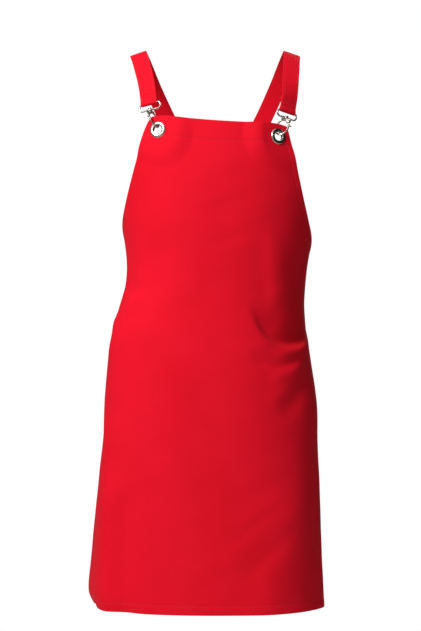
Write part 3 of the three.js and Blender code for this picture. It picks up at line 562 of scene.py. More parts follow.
def cloth_relief(across, down):
    """Fine heights of the panel's outer face, over those of its folds and creases."""
    left, right = side_gaps(across, down)
    inside = [TOP_HEM - down, down - PANEL_LENGTH + BOTTOM_HEM, SIDE_HEM - left, SIDE_HEM - right]
    courses = [(across, 1.0), (across, 2.0), (down, 3.0), (down, 5.0)]
    height = HEM_RISE * ease(np.maximum.reduce(inside) / 3)
    for depth, (place, seed) in zip(inside, courses):
        height += sewn(HEM_STITCH - depth, place, seed)
    drift = np.sin(across / 21 + 1.3 * np.sin(down / 47))
    height += SLOW_WAVE * drift * np.sin(down / 33 + np.sin(across / 61))
    height += QUICK_WAVE * np.sin(across / 9.5 + down / 23) * np.sin(down / 13 - across / 31)
    return height


def panel_shape():
    """Both faces of the panel, its rolled edges and its two holes."""
    rows = panel_rows()
    across = np.stack([panel_columns(down) for down in rows])
    down = np.repeat(rows[:, None], across.shape[1], axis=1)
    hole = EYELET_HOLE + EYELET_BARREL + HOLE_PLAY
    dropped = np.zeros(across.shape, bool)
    for eyelet in EYELETS:
        x, y, away = from_eyelet(eyelet, across, down)
        inside = away < hole
        near = np.zeros_like(inside)
        for row_step in (-1, 0, 1):
            for column_step in (-1, 0, 1):
                near |= np.roll(inside, (row_step, column_step), (0, 1))
        rim = near & ~inside
        across = np.where(rim, eyelet["place"][0] + x * hole / np.maximum(away, 1e-6), across)
        down = np.where(rim, eyelet["place"][1] + y * hole / np.maximum(away, 1e-6), down)
        dropped |= inside
    left, right = side_gaps(across, down)
    to_edge = np.minimum(np.minimum(left, right), np.minimum(down, PANEL_LENGTH - down))
    hem = (down <= TOP_HEM) | (down >= PANEL_LENGTH - BOTTOM_HEM)
    hem |= np.minimum(left, right) <= SIDE_HEM
    wall = np.where(hem, HEM_WALL, CLOTH_WALL)
    rounding = 1 - quarter_round(to_edge / (0.5 * HEM_WALL))
    lifted = np.where(to_edge < 0.3, 0, cloth_relief(across, down))
    for eyelet in EYELETS:
        _, _, away = from_eyelet(eyelet, across, down)
        pressed = 1 - ease((away - EYELET_FLANGE + 1) / 6)
        lifted = lifted * (1 - pressed) - 0.1 * pressed
    point = read_grid(cloth, across, down)
    normal = unit(read_grid(flat_normals, across, down))
    outer = point + normal * (lifted - rounding * 0.5 * HEM_WALL)[..., None]
    inner = point - normal * (wall - rounding * (wall - 0.5 * HEM_WALL))[..., None]
    kept = ~dropped
    numbers = np.full(across.shape, -1)
    numbers[kept] = np.arange(kept.sum())
    half = int(kept.sum())
    corners = numbers[:-1, :-1], numbers[1:, :-1], numbers[1:, 1:], numbers[:-1, 1:]
    squares = np.stack(corners, axis=-1).reshape(-1, 4)
    faces = squares[squares.min(axis=1) >= 0].tolist()
    borders = {}
    for face in faces:
        for a, b in zip(face, face[1:] + face[:1]):
            if borders.pop((b, a), None) is None:
                borders[(a, b)] = True
    both = faces + [[i + half for i in face[::-1]] for face in faces]
    both += [[b, a, a + half, b + half] for a, b in borders]
    places = np.stack([across[kept], down[kept]], axis=-1)
    points = np.concatenate([outer[kept], inner[kept]])
    return Shape().add(points, both, np.concatenate([places, places]))


# Stitches: small spindles laid along lines on the cloth
def stitch_shape(lines):
    """lines are (points, normals) of sewn lines, their points close together."""
    along = np.array([-0.5, -0.42, -0.2, 0.2, 0.42, 0.5])
    thick = np.array([0.25, 0.75, 1.0, 1.0, 0.75, 0.25])
    dip = np.array([-1.3, -0.5, 0.15, 0.15, -0.5, -1.3])
    sides = 6
    turn = full_turn(sides, 0.5)[:, None]
    shape = Shape()
    faces = loft(np.zeros((len(along), sides, 3)))[1]
    for points, normals in lines:
        steps = running_length(points)
        starts = np.arange(0.5 * STITCH_GAP, steps[-1] - STITCH_LENGTH, STITCH_LENGTH + STITCH_GAP)
        for start in starts:
            place = start + (along + 0.5) * STITCH_LENGTH
            spine = between(place, steps, points)
            facing = unit(between(place, steps, normals))
            course = unit(np.gradient(spine, axis=0))
            beside = unit(np.cross(course, facing))
            ring = beside[:, None] * np.cos(turn) + facing[:, None] * np.sin(turn)
            ring = ring * (STITCH_RADIUS * thick)[:, None, None]
            middle = spine[:, None] + facing[:, None] * (STITCH_RADIUS * dip)[:, None, None]
            shape.add(middle + ring, faces)
    return shape


def cloth_line(across, down):
    """A line on the panel's outer face, from places along the cloth."""
    across, down = np.asarray(across, float), np.asarray(down, float)
    normal = unit(read_grid(flat_normals, across, down))
    height = cloth_relief(across, down)
    return read_grid(cloth, across, down) + normal * height[:, None], normal


def hem_lines():
    """Sewn lines of the top and bottom hems, then those of the two sides."""
    lines = []
    for down in (TOP_HEM - HEM_STITCH, PANEL_LENGTH - BOTTOM_HEM + HEM_STITCH):
        ends = -edge_at(down, -1) + 0.8, edge_at(down, 1) - 0.8
        across = np.linspace(*ends, 400)
        lines.append(cloth_line(across, np.full(400, down)))
    for side in (-1, 1):
        down = np.linspace(1.0, PANEL_LENGTH - 1.0, 900)
        across = side * (edge_at(down, side) - SIDE_HEM + HEM_STITCH)
        lines.append(cloth_line(across, down))
    return lines


# Places in a clasp: its hinge (front, up), heights up its axis, depths behind the eyelet
SPLIT_PIVOT = (5.6, RING_HEIGHT - SHOULDER_HEIGHT)
RING_TOP = RING_HEIGHT + 0.7 * WIRE_RADIUS
BOSS_BOTTOM = RING_TOP + CLEARANCE
BOSS_TOP = BOSS_BOTTOM + BOSS_HEIGHT
HEAD_BOTTOM = BOSS_TOP + CLEARANCE
BAR_UP = BOSS_BOTTOM + 0.6 * BOSS_HEIGHT
WASHER_FRONT = -(HEM_WALL + CLEARANCE)
WASHER_BACK = WASHER_FRONT - WASHER_WALL
CURL_FRONT = WASHER_BACK - CLEARANCE
CURL_BACK = CURL_FRONT - CURL_WALL


def clasp_frame(eyelet, side, lean, pitch, ring, rise, tilt, **rest):
    """Origins and axes of a clasp: its ring (front, beside, up) and bow (across, ahead, up)."""
    lean, pitch, ring = (math.radians(angle) for angle in (lean, pitch, ring))
    in_plane = eyelet["up"] * math.cos(lean) + eyelet["out"] * math.sin(lean)
    facing = eyelet["facing"]
    origin = eyelet["middle"] + in_plane * rise + facing * (CURL_BACK / 2 + EYELET_DOME / 2)
    axis = in_plane * math.cos(pitch) - facing * math.sin(pitch)

    def square(vector):
        return unit(vector - axis * np.dot(vector, axis))

    front = square(eyelet["out"] * math.cos(ring) + facing * math.sin(ring))
    across = square(eyelet["out"])
    ahead = unit(np.cross(across, axis) * side)
    bow = (
        origin + axis * BAR_UP,
        turn_about(across, ahead, side * tilt),
        ahead,
        turn_about(axis, ahead, side * tilt),
    )
    return (origin, front, np.cross(axis, front), axis), bow


def point_in(frame_axes, *distances):
    """Points at three distances along the axes of a frame, which follow its origin."""
    origin, first, second, third = frame_axes
    a, b, c = (np.asarray(distance, float)[..., None] for distance in distances)
    return origin + first * a + second * b + third * c


def smooth_line(points, steps):
    """Points along a centripetal curve through points, and the places between them."""
    points = np.asarray(points, float)
    padded = np.vstack([2 * points[0] - points[1], points, 2 * points[-1] - points[-2]])
    places = np.linspace(0, len(points) - 1, steps)
    spans = np.minimum(places.astype(int), len(points) - 2)
    t = (places - spans)[:, None]
    p0, p1, p2, p3 = (padded[spans + i] for i in range(4))
    pairs = ((p0, p1), (p1, p2), (p2, p3))
    d0, d1, d2 = (np.linalg.norm(b - a, axis=1)[:, None] ** 0.5 for a, b in pairs)
    t1 = ((p1 - p0) / d0 - (p2 - p0) / (d0 + d1) + (p2 - p1) / d1) * d1
    t2 = ((p2 - p1) / d1 - (p3 - p1) / (d1 + d2) + (p3 - p2) / d2) * d1
    line = p1 + t1 * t + (-3 * p1 + 3 * p2 - 2 * t1 - t2) * t**2 + (2 * p1 - 2 * p2 + t1 + t2) * t**3
    return line, places


# The straps
def strap_stations(bow, side):
    """Middles of the strap and the ways it faces, from its tail to its sewn far end."""
    bar = 2 * LOOP_HALF_HEIGHT
    turn_radius = LOOP_WIRE + CLEARANCE + STRAP_WALL / 2
    ply = (STRAP_WALL + CLEARANCE) / 2
    neck = 3.2 * turn_radius
    half = 0.5 * (STRAP_TAIL + neck)
    outer = [(ply, STRAP_TAIL, 1, 0), (ply, half, 1, 0), (ply, neck, 1, 0)]
    outer.append((0.65 * turn_radius, 1.7 * turn_radius, 0.97, 0.25))
    rows = [(-ahead, up, -faced, raised) for ahead, up, faced, raised in outer]
    for i in range(7):
        turn = math.pi + math.pi * i / 6
        sine, cosine = math.sin(turn), math.cos(turn)
        rows.append((turn_radius * cosine, turn_radius * sine, cosine, sine))
    rows += outer[::-1]
    points = [point_in(bow, 0, ahead, bar + up) for ahead, up, _, _ in rows]
    facings = [bow[2] * ahead + bow[3] * up for _, _, ahead, up in rows]
    start = points[-1]
    crest = np.array([side * SHOULDER_HALF, 0, -STRAP_WALL / 2])
    for x, y, z, out, ahead, up in FRONT_RUN:
        points.append(start + (crest - start) * [x, y, z])
        facings.append(np.array([side * out, -ahead, up]))
    places = np.linspace(0, STRAP_OVERLAP, 4)
    across = -side * (PANEL_HALF_WIDTH - SEAM_INSET) + side * SEAM_RUN[0] * places
    down = CORNER_DOWN + 2 + SEAM_RUN[1] * places
    normals = unit(read_grid(flat_normals, across, down))
    seam = read_grid(cloth, across, down) + normals * (STRAP_WALL / 2 + 2 * CLEARANCE)
    lift = STRAP_WALL + 3 * CLEARANCE if side > 0 else 0
    for x, y, z, out, behind, up, over in BACK_RUN:
        step = crest + (seam[0] - crest) * [x, 0, z]
        points.append(np.array([step[0], TORSO_DEPTH * y + lift * over, step[2]]))
        facings.append(np.array([side * out, behind, up]))
    points += list(seam)
    facings += list(normals)
    return np.array(points), np.array(facings)


def strap_frames(bow, side):
    """Middle line of a strap, the ways that it faces and lies across, and its lengths."""
    points, facings = strap_stations(bow, side)
    line, places = smooth_line(points, STRAP_STEPS)
    spans = np.minimum(places.astype(int), len(points) - 2)
    share = (places - spans)[:, None]
    facing = facings[spans] * (1 - share) + facings[spans + 1] * share
    along = unit(np.gradient(line, axis=0))
    facing = unit(facing - along * np.sum(facing * along, axis=1)[:, None])
    lengths = running_length(line)
    lengths -= np.interp(FOLD_STATION, places, lengths)
    return line, facing, np.cross(along, facing), lengths


def strap_height(beside, length):
    """Height of a strap's face over its middle, at places across and along it."""
    to_edge = STRAP_HALF - np.abs(beside)
    height = STRAP_WALL / 2 - 0.3 * bell(to_edge - TOPSTITCH, 0.9)
    height = height + 0.1 * ripple(length + 40 * np.sign(beside), 2.0) * bell(to_edge, 5)
    for seam in FOLD_SEAMS:
        height = height - 0.4 * bell(length - seam, 1.1)
        height = height + 0.2 * bell(length - seam - 2.6, 1.6)
    return height


def strap_shape(frames):
    line, facing, across, lengths = frames
    rim = STRAP_HALF - np.array([0.15, 0.5, 1.2])
    beside = np.concatenate([-rim, np.arange(2.2 - STRAP_HALF, STRAP_HALF - 2, 0.9), rim[::-1]])
    grid_beside, grid_length = np.meshgrid(beside, lengths)
    round_edge = quarter_round(STRAP_HALF - np.abs(grid_beside))
    front = strap_height(grid_beside, grid_length) * round_edge
    rear = strap_height(grid_beside, grid_length + REAR_SHIFT) * round_edge
    front_side = np.stack([grid_beside, front], axis=-1)
    rear_side = np.stack([grid_beside, -rear], axis=-1)[:, ::-1]
    edge = np.tile([STRAP_HALF, 0], (len(lengths), 1, 1))
    section = np.concatenate([front_side, edge, rear_side, -edge], axis=1)
    rings = line[:, None] + across[:, None] * section[..., :1] + facing[:, None] * section[..., 1:]
    points, faces = loft(rings)
    lengthwise = np.repeat(lengths[:, None], section.shape[1], axis=1)
    places = np.stack([section[..., 0], lengthwise], axis=-1).reshape(-1, 2)
    return Shape().add(points, faces, places)


def strap_lines(frames):
    """Topstitching along both faces, seams over the fold, and the far end's box of stitches."""
    line, facing, across, lengths = frames
    lines = []
    for face in (1, -1):
        for edge in (-1, 1):
            beside = np.full(len(lengths), edge * (STRAP_HALF - TOPSTITCH))
            height = strap_height(beside, lengths + (0 if face > 0 else REAR_SHIFT))
            points = line + across * beside[:, None] + facing * (face * height)[:, None]
            lines.append((points[2:-2], facing[2:-2] * face))

    def add_line(beside, place):
        middle, front, cross = (between(place, lengths, rows) for rows in (line, facing, across))
        height = strap_height(beside, place)
        lines.append((middle + cross * beside[:, None] + front * height[:, None], front))

    end = STRAP_HALF - 2.4
    for seam in FOLD_SEAMS:
        for place in (seam, -seam):
            add_line(np.linspace(-end, end, 30), np.full(30, float(place)))
    side, near, far = STRAP_HALF - 4, lengths[-1] - 27, lengths[-1] - 3
    corners = np.array([(-side, far), (side, far), (side, near), (-side, near)])
    share = np.linspace(0, 1, 40)[:, None]
    for a, b in [(0, 1), (1, 2), (2, 3), (3, 0), (0, 2), (1, 3)]:
        add_line(*(corners[a] + (corners[b] - corners[a]) * share).T)
    return lines


# The eyelets, turned from smooth profiles
def turned(frame_, profile, sides):
    """Points and faces of (radius, height) pairs turned round a frame's facing axis."""
    profile = np.asarray(profile, float)
    facing, up = frame_["facing"], frame_["up"]
    beside = np.cross(up, facing)
    turn = full_turn(sides)
    ring = up * np.cos(turn)[:, None] + beside * np.sin(turn)[:, None]
    radius, height = profile[:, 0], profile[:, 1]
    rings = frame_["middle"] + ring[:, None] * radius[:, None] + facing * height[:, None]
    return loft(rings, closed=True)


def rounded(corners, radius=0.25, steps=4):
    """A closed outline with its corners rounded off."""
    corners = np.asarray(corners, float)
    count = len(corners)
    outline = []
    for i in range(count):
        before, here, after = corners[i - 1], corners[i], corners[(i + 1) % count]
        to_before, to_after = before - here, after - here
        reach = min(radius, 0.45 * np.linalg.norm(to_before), 0.45 * np.linalg.norm(to_after))
        start, end = here + unit(to_before) * reach, here + unit(to_after) * reach
        for t in np.linspace(0, 1, steps):
            outline.append((1 - t) ** 2 * start + 2 * t * (1 - t) * here + t**2 * end)
    return np.array(outline)


def eyelet_profile():
    barrel = EYELET_HOLE + EYELET_BARREL
    curl = barrel + CURL_REACH
    dome = [
        (EYELET_HOLE, CURL_FRONT + 0.5),
        (EYELET_HOLE, CLEARANCE + 0.1 * EYELET_DOME),
        (EYELET_HOLE + 0.25 * EYELET_BARREL, CLEARANCE + 0.62 * EYELET_DOME),
        (barrel + 0.35, CLEARANCE + 0.95 * EYELET_DOME),
        (0.35 * barrel + 0.65 * EYELET_FLANGE - 0.9, CLEARANCE + 1.02 * EYELET_DOME),
        (0.1 * barrel + 0.9 * EYELET_FLANGE - 0.25, CLEARANCE + 0.66 * EYELET_DOME),
        (EYELET_FLANGE - 0.05, CLEARANCE + 0.16 * EYELET_DOME),
    ]
    front = smooth_line([(r, h, 0) for r, h in dome], 40)[0][:, :2]
    back = rounded([
        (EYELET_FLANGE - 0.1, CLEARANCE - 0.2),
        (barrel, CLEARANCE - 0.2),
        (barrel, CURL_FRONT),
        (curl, CURL_FRONT),
        (curl, CURL_FRONT - 0.5 * CURL_WALL),
        (barrel + 0.3 * CURL_REACH, CURL_BACK),
        (EYELET_HOLE + 0.2 * EYELET_BARREL, CURL_BACK + 0.1 * CURL_WALL),
        (EYELET_HOLE, CURL_FRONT),
    ])
    return np.concatenate([front, back])


def washer_profile():
    bore = EYELET_HOLE + EYELET_BARREL + CLEARANCE
    return rounded([
        (bore, WASHER_BACK),
        (bore, WASHER_FRONT),
        (WASHER_RADIUS, WASHER_FRONT),
        (WASHER_RADIUS, WASHER_BACK),
    ], 0.2)


# The clasps
def ring_place(angle):
    """Centre line of the claw's ring at angles in degrees from its top, towards the front."""
    turn = np.radians(angle)
    half = RING_HEIGHT / 2
    return RING_HALF_WIDTH * np.sin(turn), half + half * np.cos(turn)


def flat_tube(frame_axes, line, radius, sides=20, closed=False):
    """A tube round a line in the plane of a frame's first and third axes."""
    line = np.asarray(line, float)
    if closed:
        tangent = unit(np.roll(line, -1, 0) - np.roll(line, 1, 0))
    else:
        tangent = unit(np.gradient(line, axis=0))
    turn = full_turn(sides, 0.5)
    radius = np.broadcast_to(np.asarray(radius, float), (len(line),))[:, None]
    first = line[:, :1] - tangent[:, 1:] * radius * np.cos(turn)
    second = line[:, 1:] + tangent[:, :1] * radius * np.cos(turn)
    depth = radius * np.sin(turn)[None, :]
    return loft(point_in(frame_axes, first, depth, second), closed=closed)


def ring_tube(ring, start, end, steps, radius, round_ends=(0, 0)):
    """Tube along the ring between two angles; a rounded end shrinks over its last length."""
    angles = np.linspace(start, end, steps)
    line = np.stack(ring_place(angles), axis=-1)
    radii = np.broadcast_to(np.asarray(radius(angles), float), angles.shape).copy()
    lengths = running_length(line)
    for reach, away in zip(round_ends, (lengths, lengths[-1] - lengths)):
        if reach:
            radii *= quarter_round(np.maximum(away / reach, 0.02))
    return flat_tube(ring, line, radii)


def plate(ring, outline, start, end, bevel, cutters=()):
    """A bevelled plate in the ring's plane as points and faces, with plates cut out of it."""

    def prism(corners, low, high):
        corners = np.asarray(corners, float)
        rings = [np.column_stack([corners, np.full(len(corners), depth)]) for depth in (low, high)]
        points, faces = loft(rings)
        mesh = bpy.data.meshes.new("plate")
        mesh.from_pydata(points.tolist(), [], faces)
        face_outwards(mesh)
        return new_object("plate", mesh)

    solid = prism(outline, start, end)
    knives = [prism(*cutter) for cutter in cutters]
    for knife in knives:
        cut = solid.modifiers.new("cut", "BOOLEAN")
        cut.operation, cut.solver, cut.object = "DIFFERENCE", "EXACT", knife
    edge = solid.modifiers.new("edge", "BEVEL")
    edge.width, edge.segments = bevel, 3
    edge.limit_method, edge.angle_limit = "ANGLE", math.radians(35)
    shown = solid.evaluated_get(bpy.context.evaluated_depsgraph_get())
    baked = bpy.data.meshes.new_from_object(shown)
    flat = np.array([vertex.co[:] for vertex in baked.vertices])
    faces = [list(polygon.vertices) for polygon in baked.polygons]
    for other in [solid, *knives]:
        bpy.data.objects.remove(other)
    return point_in(ring, flat[:, 0], flat[:, 2], flat[:, 1]), faces


def disc(centre, radius, sides):
    turn = full_turn(sides)
    return np.stack([centre[0] + radius * np.cos(turn), centre[1] + radius * np.sin(turn)], axis=-1)


RIVET_BORE = (
    disc(SPLIT_PIVOT, RIVET_RADIUS + 0.05, 24),
    -2 * CHEEK_HALF_DEPTH,
    2 * CHEEK_HALF_DEPTH,
)


def swivel_frame(ring):
    origin, front, _, axis = ring
    return dict(middle=origin, facing=axis, up=front)


def claw_shape(ring):
    front, up = SPLIT_PIVOT
    top = RING_TOP
    shape = Shape().add(*ring_tube(ring, -8, -200, 60, lambda angle: WIRE_RADIUS))

    def nose_radius(angle):
        return WIRE_RADIUS + (NOSE_RADIUS - WIRE_RADIUS) * ease((-angle - 186) / 50)

    split = math.degrees(CLEARANCE / RING_HALF_WIDTH)
    shape.add(*ring_tube(ring, -186, -(360 - RING_SPLIT) + 1.2 * split, 30, nose_radius, (0, 0.8)))
    outline = [
        (-7.4, top),
        (-7.4, top - 1.4),
        (-5.2, top - 3.2),
        (2.0, top - 3.2),
        (front - HUB_RADIUS - 0.3, up - HUB_RADIUS - 0.4),
        (front + HUB_RADIUS - 0.1, up - HUB_RADIUS - 0.4),
        (front + HUB_RADIUS + 1.0, up - 0.4),
        (front + HUB_RADIUS + 1.0, top - 1.0),
        (front + HUB_RADIUS, top),
    ]
    slot_half = GATE_HALF_DEPTH + CLEARANCE
    slot = [
        (front - HUB_RADIUS - 2 * CLEARANCE, up + HUB_RADIUS + CLEARANCE),
        (front - HUB_RADIUS - 2 * CLEARANCE, up - 3 * HUB_RADIUS),
        (front + 3 * HUB_RADIUS, up - 3 * HUB_RADIUS),
        (front + 3 * HUB_RADIUS, up + HUB_RADIUS + CLEARANCE),
    ]
    cutters = [(slot, -slot_half, slot_half), RIVET_BORE]
    shape.add(*plate(ring, outline, -CHEEK_HALF_DEPTH, CHEEK_HALF_DEPTH, 0.35, cutters))
    post = rounded([
        (0.01, top - 1),
        (POST_RADIUS, top - 1),
        (POST_RADIUS, HEAD_BOTTOM),
        (POST_HEAD, HEAD_BOTTOM),
        (POST_HEAD, HEAD_BOTTOM + 0.5 * HEAD_HEIGHT),
        (0.6 * POST_HEAD, HEAD_BOTTOM + 0.95 * HEAD_HEIGHT),
        (0.01, HEAD_BOTTOM + HEAD_HEIGHT),
    ], 0.4)
    return shape.add(*turned(swivel_frame(ring), post, 40))


def gate_shape(ring):
    ends = GATE_START, RING_SPLIT - 1
    arm = ring_tube(ring, *ends, 36, lambda angle: WIRE_RADIUS - 0.05, (1.6, 0.5))
    shape = Shape().add(*arm)
    pivot, end = np.array(SPLIT_PIVOT), np.array(ring_place(GATE_START + 6))
    x, y = end - pivot
    side = np.array([-y, x]) / math.hypot(x, y) * 0.95 * WIRE_RADIUS
    link = [pivot + side, pivot - side, end - side, end + side]
    shape.add(*plate(ring, link, -GATE_HALF_DEPTH, GATE_HALF_DEPTH, 0.25))
    hub = disc(SPLIT_PIVOT, HUB_RADIUS, 36)
    shape.add(*plate(ring, hub, -GATE_HALF_DEPTH, GATE_HALF_DEPTH, 0.2, [RIVET_BORE]))
    # Thumb tab: share of its reach, half its width and half its depth
    stations = np.array([
        [0.0, 1.2, 1.2],
        [0.2, 1.05, 1.2],
        [0.45, 0.9, 1.3],
        [0.7, 0.95, 1.55],
        [0.88, 0.95, 1.65],
        [0.97, 0.7, 1.35],
        [1.0, 0.3, 0.7],
    ])
    front, up = ring_place(TAB_ANGLE)
    turn = full_turn(16)
    share, half, depth = (stations[:, i : i + 1] for i in range(3))
    across = front + share * TAB_REACH
    height = up - 0.25 * share * TAB_REACH + half * np.cos(turn)
    return shape.add(*loft(point_in(ring, across, depth * np.sin(turn), height)))


def rivet_shape(ring):
    seat = CHEEK_HALF_DEPTH + 0.02
    _, _, beside, axis = ring
    middle = point_in(ring, SPLIT_PIVOT[0], 0, SPLIT_PIVOT[1])
    frame_ = dict(middle=middle, facing=beside, up=axis)
    head = [
        (RIVET_HEAD, seat),
        (RIVET_HEAD * 0.95, seat + 0.3),
        (RIVET_HEAD * 0.7, seat + 0.7),
        (0.01, seat + 0.95),
    ]
    profile = [(r, -h) for r, h in head[::-1]] + [(RIVET_RADIUS, -seat), (RIVET_RADIUS, seat)] + head
    return Shape().add(*turned(frame_, rounded(profile, 0.3, 3), 32))


def loop_line():
    """Closed centre line of the bow: across it, and up from its boss."""
    flat = LOOP_HALF_WIDTH - LOOP_HALF_HEIGHT
    middle = LOOP_HALF_HEIGHT - LOOP_WAVE / 2
    end_half = LOOP_HALF_HEIGHT + LOOP_WAVE / 2
    top = np.linspace(flat, -flat, 16)
    turn = np.linspace(0, np.pi, 18)[1:-1]
    low = np.linspace(-flat, flat, 40)
    dip = 1 - bell(low, 0.4 * LOOP_HALF_WIDTH)
    out, rise = flat + LOOP_HALF_HEIGHT * np.sin(turn), end_half * np.cos(turn)
    x = np.concatenate([top, -out, low, out])
    level = np.full(len(top), 2 * LOOP_HALF_HEIGHT)
    y = np.concatenate([level, middle + rise, -LOOP_WAVE * dip, middle - rise])
    return np.stack([x, y], axis=-1)


def loop_shape(ring, bow):
    shape = Shape().add(*flat_tube(bow, loop_line(), LOOP_WIRE, closed=True))
    boss = rounded([
        (POST_RADIUS + 0.1, BOSS_BOTTOM),
        (0.9 * BOSS_RADIUS, BOSS_BOTTOM),
        (BOSS_RADIUS, BOSS_BOTTOM + 0.25 * BOSS_HEIGHT),
        (BOSS_RADIUS, BOSS_TOP - 0.25 * BOSS_HEIGHT),
        (0.9 * BOSS_RADIUS, BOSS_TOP),
        (POST_RADIUS + 0.1, BOSS_TOP),
    ], 0.5)
    return shape.add(*turned(swivel_frame(ring), boss, 48))


# Materials: dark and light tones of each, and the pitch of the weave
PANEL_RED = (0.72, 0.002, 0.012), (0.88, 0.004, 0.024)
STRAP_RED = (0.70, 0.002, 0.012), (0.86, 0.004, 0.024)
THREAD_RED = (0.5, 0.004, 0.016), (0.7, 0.012, 0.035)
NICKEL = (0.47, 0.44, 0.38), (0.62, 0.59, 0.52)
PAPER = (0.82, 0.82, 0.82)
WEAVE_PITCH = 0.0011


def new_material(name):
    material = bpy.data.materials.new(name)
    material.use_nodes = True
    tree = material.node_tree
    return material, tree, tree.nodes["Principled BSDF"]


def wire(tree, node, values):
    """Sets a node's inputs to numbers and colours, or links other nodes' outputs to them."""
    for socket, value in values.items():
        if isinstance(value, bpy.types.NodeSocket):
            tree.links.new(value, node.inputs[socket])
        elif value is not None:
            node.inputs[socket].default_value = value


def math_node(tree, operation, first, second=None):
    node = tree.nodes.new("ShaderNodeMath")
    node.operation = operation
    wire(tree, node, {0: first, 1: second})
    return node.outputs[0]


def solid_place(tree):
    return tree.nodes.new("ShaderNodeTexCoord").outputs["Object"]


def scaled(tree, value, share, base):
    """value * share + base."""
    return math_node(tree, "ADD", math_node(tree, "MULTIPLY", value, share), base)


def noise_node(tree, vector, scale, detail=3.0, roughness=0.55):
    node = tree.nodes.new("ShaderNodeTexNoise")
    wire(tree, node, {"Vector": vector, "Scale": scale, "Detail": detail, "Roughness": roughness})
    return node.outputs["Fac"]


def ramp_node(tree, factor, stops):
    node = tree.nodes.new("ShaderNodeValToRGB")
    ramp = node.color_ramp
    while len(ramp.elements) < len(stops):
        ramp.elements.new(0.5)
    for element, (place, color) in zip(ramp.elements, stops):
        element.position = place
        element.color = (*color, 1)
    wire(tree, node, {"Fac": factor})
    return node.outputs["Color"]


def tone_node(tree, factor, tones):
    return ramp_node(tree, factor, list(zip((0.3, 0.7), tones)))


def bump_node(tree, height, strength, distance, normal=None):
    node = tree.nodes.new("ShaderNodeBump")
    wire(tree, node, {"Height": height, "Strength": strength, "Distance": distance, "Normal": normal})
    return node.outputs["Normal"]


def cloth_material(name, tones, twill):
    """Woven cotton: yarns over the cloth's own coordinates, slubs, and uneven dye."""
    material, tree, shader = new_material(name)
    place = tree.nodes.new("ShaderNodeUVMap")
    place.uv_map = "cloth"
    split = tree.nodes.new("ShaderNodeSeparateXYZ")
    wire(tree, split, {0: place.outputs["UV"]})
    u, v = split.outputs[0], split.outputs[1]
    turn = 2 * math.pi / WEAVE_PITCH
    warp = math_node(tree, "SINE", math_node(tree, "MULTIPLY", u, turn))
    if twill:
        v, turn = math_node(tree, "ADD", u, v), turn / 2
    rib = math_node(tree, "SINE", math_node(tree, "MULTIPLY", v, turn))
    weave = scaled(tree, warp, 0.3, math_node(tree, "MULTIPLY", rib, 0.7))
    solid = solid_place(tree)
    dye = noise_node(tree, solid, 9.0, 4.0)
    slub = noise_node(tree, solid, 700.0, 3.0, 0.7)
    mixed = scaled(tree, dye, 0.5, math_node(tree, "MULTIPLY", slub, 0.5))
    soft = bump_node(tree, noise_node(tree, solid, 120.0, 4.0), 0.25, 0.0006)
    fine = bump_node(tree, weave, 0.35, 0.00012, soft)
    wire(tree, shader, {
        "Base Color": tone_node(tree, mixed, tones),
        "Roughness": scaled(tree, slub, 0.15, 0.74),
        "Specular IOR Level": 0.12,
        "Sheen Weight": 0.05,
        "Sheen Roughness": 0.45,
        "Sheen Tint": (1.0, 0.35, 0.4, 1),
        "Normal": bump_node(tree, slub, 0.25, 0.0002, fine),
    })
    return material


def thread_material():
    material, tree, shader = new_material("sewing_thread")
    tone = noise_node(tree, solid_place(tree), 900.0, 2.0)
    wire(tree, shader, {
        "Base Color": tone_node(tree, tone, THREAD_RED),
        "Roughness": 0.5,
        "Normal": bump_node(tree, tone, 0.4, 0.0001),
    })
    return material


def nickel_material():
    material, tree, shader = new_material("nickel_plate")
    solid = solid_place(tree)
    cloud = noise_node(tree, solid, 260.0, 3.0)
    fine = noise_node(tree, solid, 2600.0, 2.0)
    wire(tree, shader, {
        "Base Color": tone_node(tree, cloud, NICKEL),
        "Metallic": 1.0,
        "Roughness": scaled(tree, cloud, 0.12, 0.2),
        "Normal": bump_node(tree, fine, 0.12, 0.00005),
    })
    return material


def paper_material():
    material, tree, shader = new_material("studio_paper")
    wire(tree, shader, {"Base Color": (*PAPER, 1), "Roughness": 0.8})
    return material


panel_cloth = cloth_material("red_twill", PANEL_RED, True)
strap_cloth = cloth_material("red_strap_cloth", STRAP_RED, False)
thread = thread_material()
nickel = nickel_material()

# The pieces
panel = make("apron_panel", panel_shape(), "apron", panel_cloth, weld=0.002)
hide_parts("bib_panel")
hem_stitches = make("hem_stitches", stitch_shape(hem_lines()), "apron", thread)
for eyelet, data in zip(EYELETS, SIDES):
    name = data["name"]
    ring, bow = clasp_frame(eyelet, **data)
    frames = strap_frames(bow, data["side"])
    strap = make(f"cross_strap_{name}", strap_shape(frames), "apron", strap_cloth)
    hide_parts(f"strap_{name}")
    sewing = make(f"strap_stitches_{name}", stitch_shape(strap_lines(frames)), "apron", thread)
    metal = [
        ("eyelet", Shape().add(*turned(eyelet, eyelet_profile(), 96)), "apron"),
        ("eyelet_washer", Shape().add(*turned(eyelet, washer_profile(), 96)), "apron"),
        ("clasp_loop", loop_shape(ring, bow), "apron"),
        ("clasp_claw", claw_shape(ring), f"claw_{name}"),
        ("clasp_gate", gate_shape(ring), f"gate_{name}"),
        ("clasp_rivet", rivet_shape(ring), f"claw_{name}"),
    ]
    for node, shape, body in metal:
        piece = make(f"{node}_{name}_nickel", shape, body, nickel, sharp=38)
        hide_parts(f"{node}_{name}")

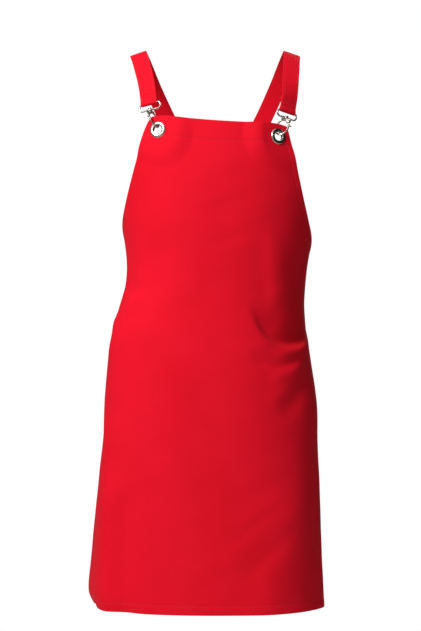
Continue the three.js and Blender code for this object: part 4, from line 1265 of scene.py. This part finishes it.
# Floor, lights and camera
FLOOR_RADIUS = 2.6
FLOOR_Y = -0.3
FLOOR_Z = -1.45
FLOOR_SIDES = 96
LIGHTS = [
    # name, place, what it points at, width and height, power
    ["key", (-1.25, -1.65, 1.15), (0, 0, -0.25), (0.55, 0.7), 53],
    ["fill", (0.4, -2.9, 0.7), (0, 0, -0.3), (1.6, 2.0), 6],
    ["top", (-0.2, -0.5, 1.7), (0, 0, -0.4), (1.8, 1.4), 8],
    ["back", (0.5, 2.3, 0.7), (0, 0, -0.4), (1.2, 1.4), 32],
]
AMBIENT = 0.5
AMBIENT_HEADING = (-0.58, -0.58, 0.57)
AMBIENT_STOPS = [
    (0.0, (0.03, 0.03, 0.03)),
    (0.35, (0.08, 0.08, 0.08)),
    (0.8, (0.7, 0.68, 0.65)),
    (1.0, (1, 1, 1)),
]
CAMERA_DISTANCE = 3.0
CAMERA_X = -0.0073
CAMERA_Z = -0.4271
VIEW_HEIGHT = 1.0285
SENSOR_HEIGHT = 36

paper_mesh = bpy.data.meshes.new("studio_floor")
floor_points = [
    (FLOOR_RADIUS * math.cos(a), FLOOR_RADIUS * math.sin(a) + FLOOR_Y, FLOOR_Z)
    for a in full_turn(FLOOR_SIDES)
]
paper_mesh.from_pydata(floor_points, [], [list(range(FLOOR_SIDES))])
paper_mesh.materials.append(paper_material())
floor = new_object("studio_floor", paper_mesh)

for name, place, target, size, power in LIGHTS:
    data = bpy.data.lights.new(name, "AREA")
    data.shape, data.size, data.size_y = "RECTANGLE", *size
    data.energy = power
    light = new_object(name, data)
    light.location = place
    light.rotation_euler = (Vector(target) - Vector(place)).to_track_quat("-Z", "Y").to_euler()

# The world lights the scene from the key's side, and the camera sees it white
world = bpy.data.worlds.new("studio")
bpy.context.scene.world = world
world.use_nodes = True
tree = world.node_tree
nodes = tree.nodes
ambient = nodes["Background"]
heading = nodes.new("ShaderNodeVectorMath")
heading.operation = "DOT_PRODUCT"
wire(tree, heading, {0: nodes.new("ShaderNodeTexCoord").outputs["Generated"], 1: AMBIENT_HEADING})
brightness = ramp_node(tree, heading.outputs["Value"], AMBIENT_STOPS)
wire(tree, ambient, {"Color": brightness, "Strength": AMBIENT})
seen = nodes.new("ShaderNodeBackground")
wire(tree, seen, {"Color": (1, 1, 1, 1), "Strength": 1.0})
is_camera_ray = nodes.new("ShaderNodeLightPath").outputs["Is Camera Ray"]
mix = nodes.new("ShaderNodeMixShader")
wire(tree, mix, {0: is_camera_ray, 1: ambient.outputs[0], 2: seen.outputs[0]})
wire(tree, nodes["World Output"], {"Surface": mix.outputs[0]})
bpy.context.scene.view_settings.view_transform = "Standard"

camera_data = bpy.data.cameras.new("camera")
camera_data.sensor_fit = "VERTICAL"
camera_data.sensor_height = SENSOR_HEIGHT
camera_data.lens = SENSOR_HEIGHT * CAMERA_DISTANCE / VIEW_HEIGHT
camera = new_object("camera", camera_data)
camera.location = (CAMERA_X, -CAMERA_DISTANCE, CAMERA_Z)
camera.rotation_euler = (math.radians(90), 0, 0)
bpy.context.scene.camera = camera
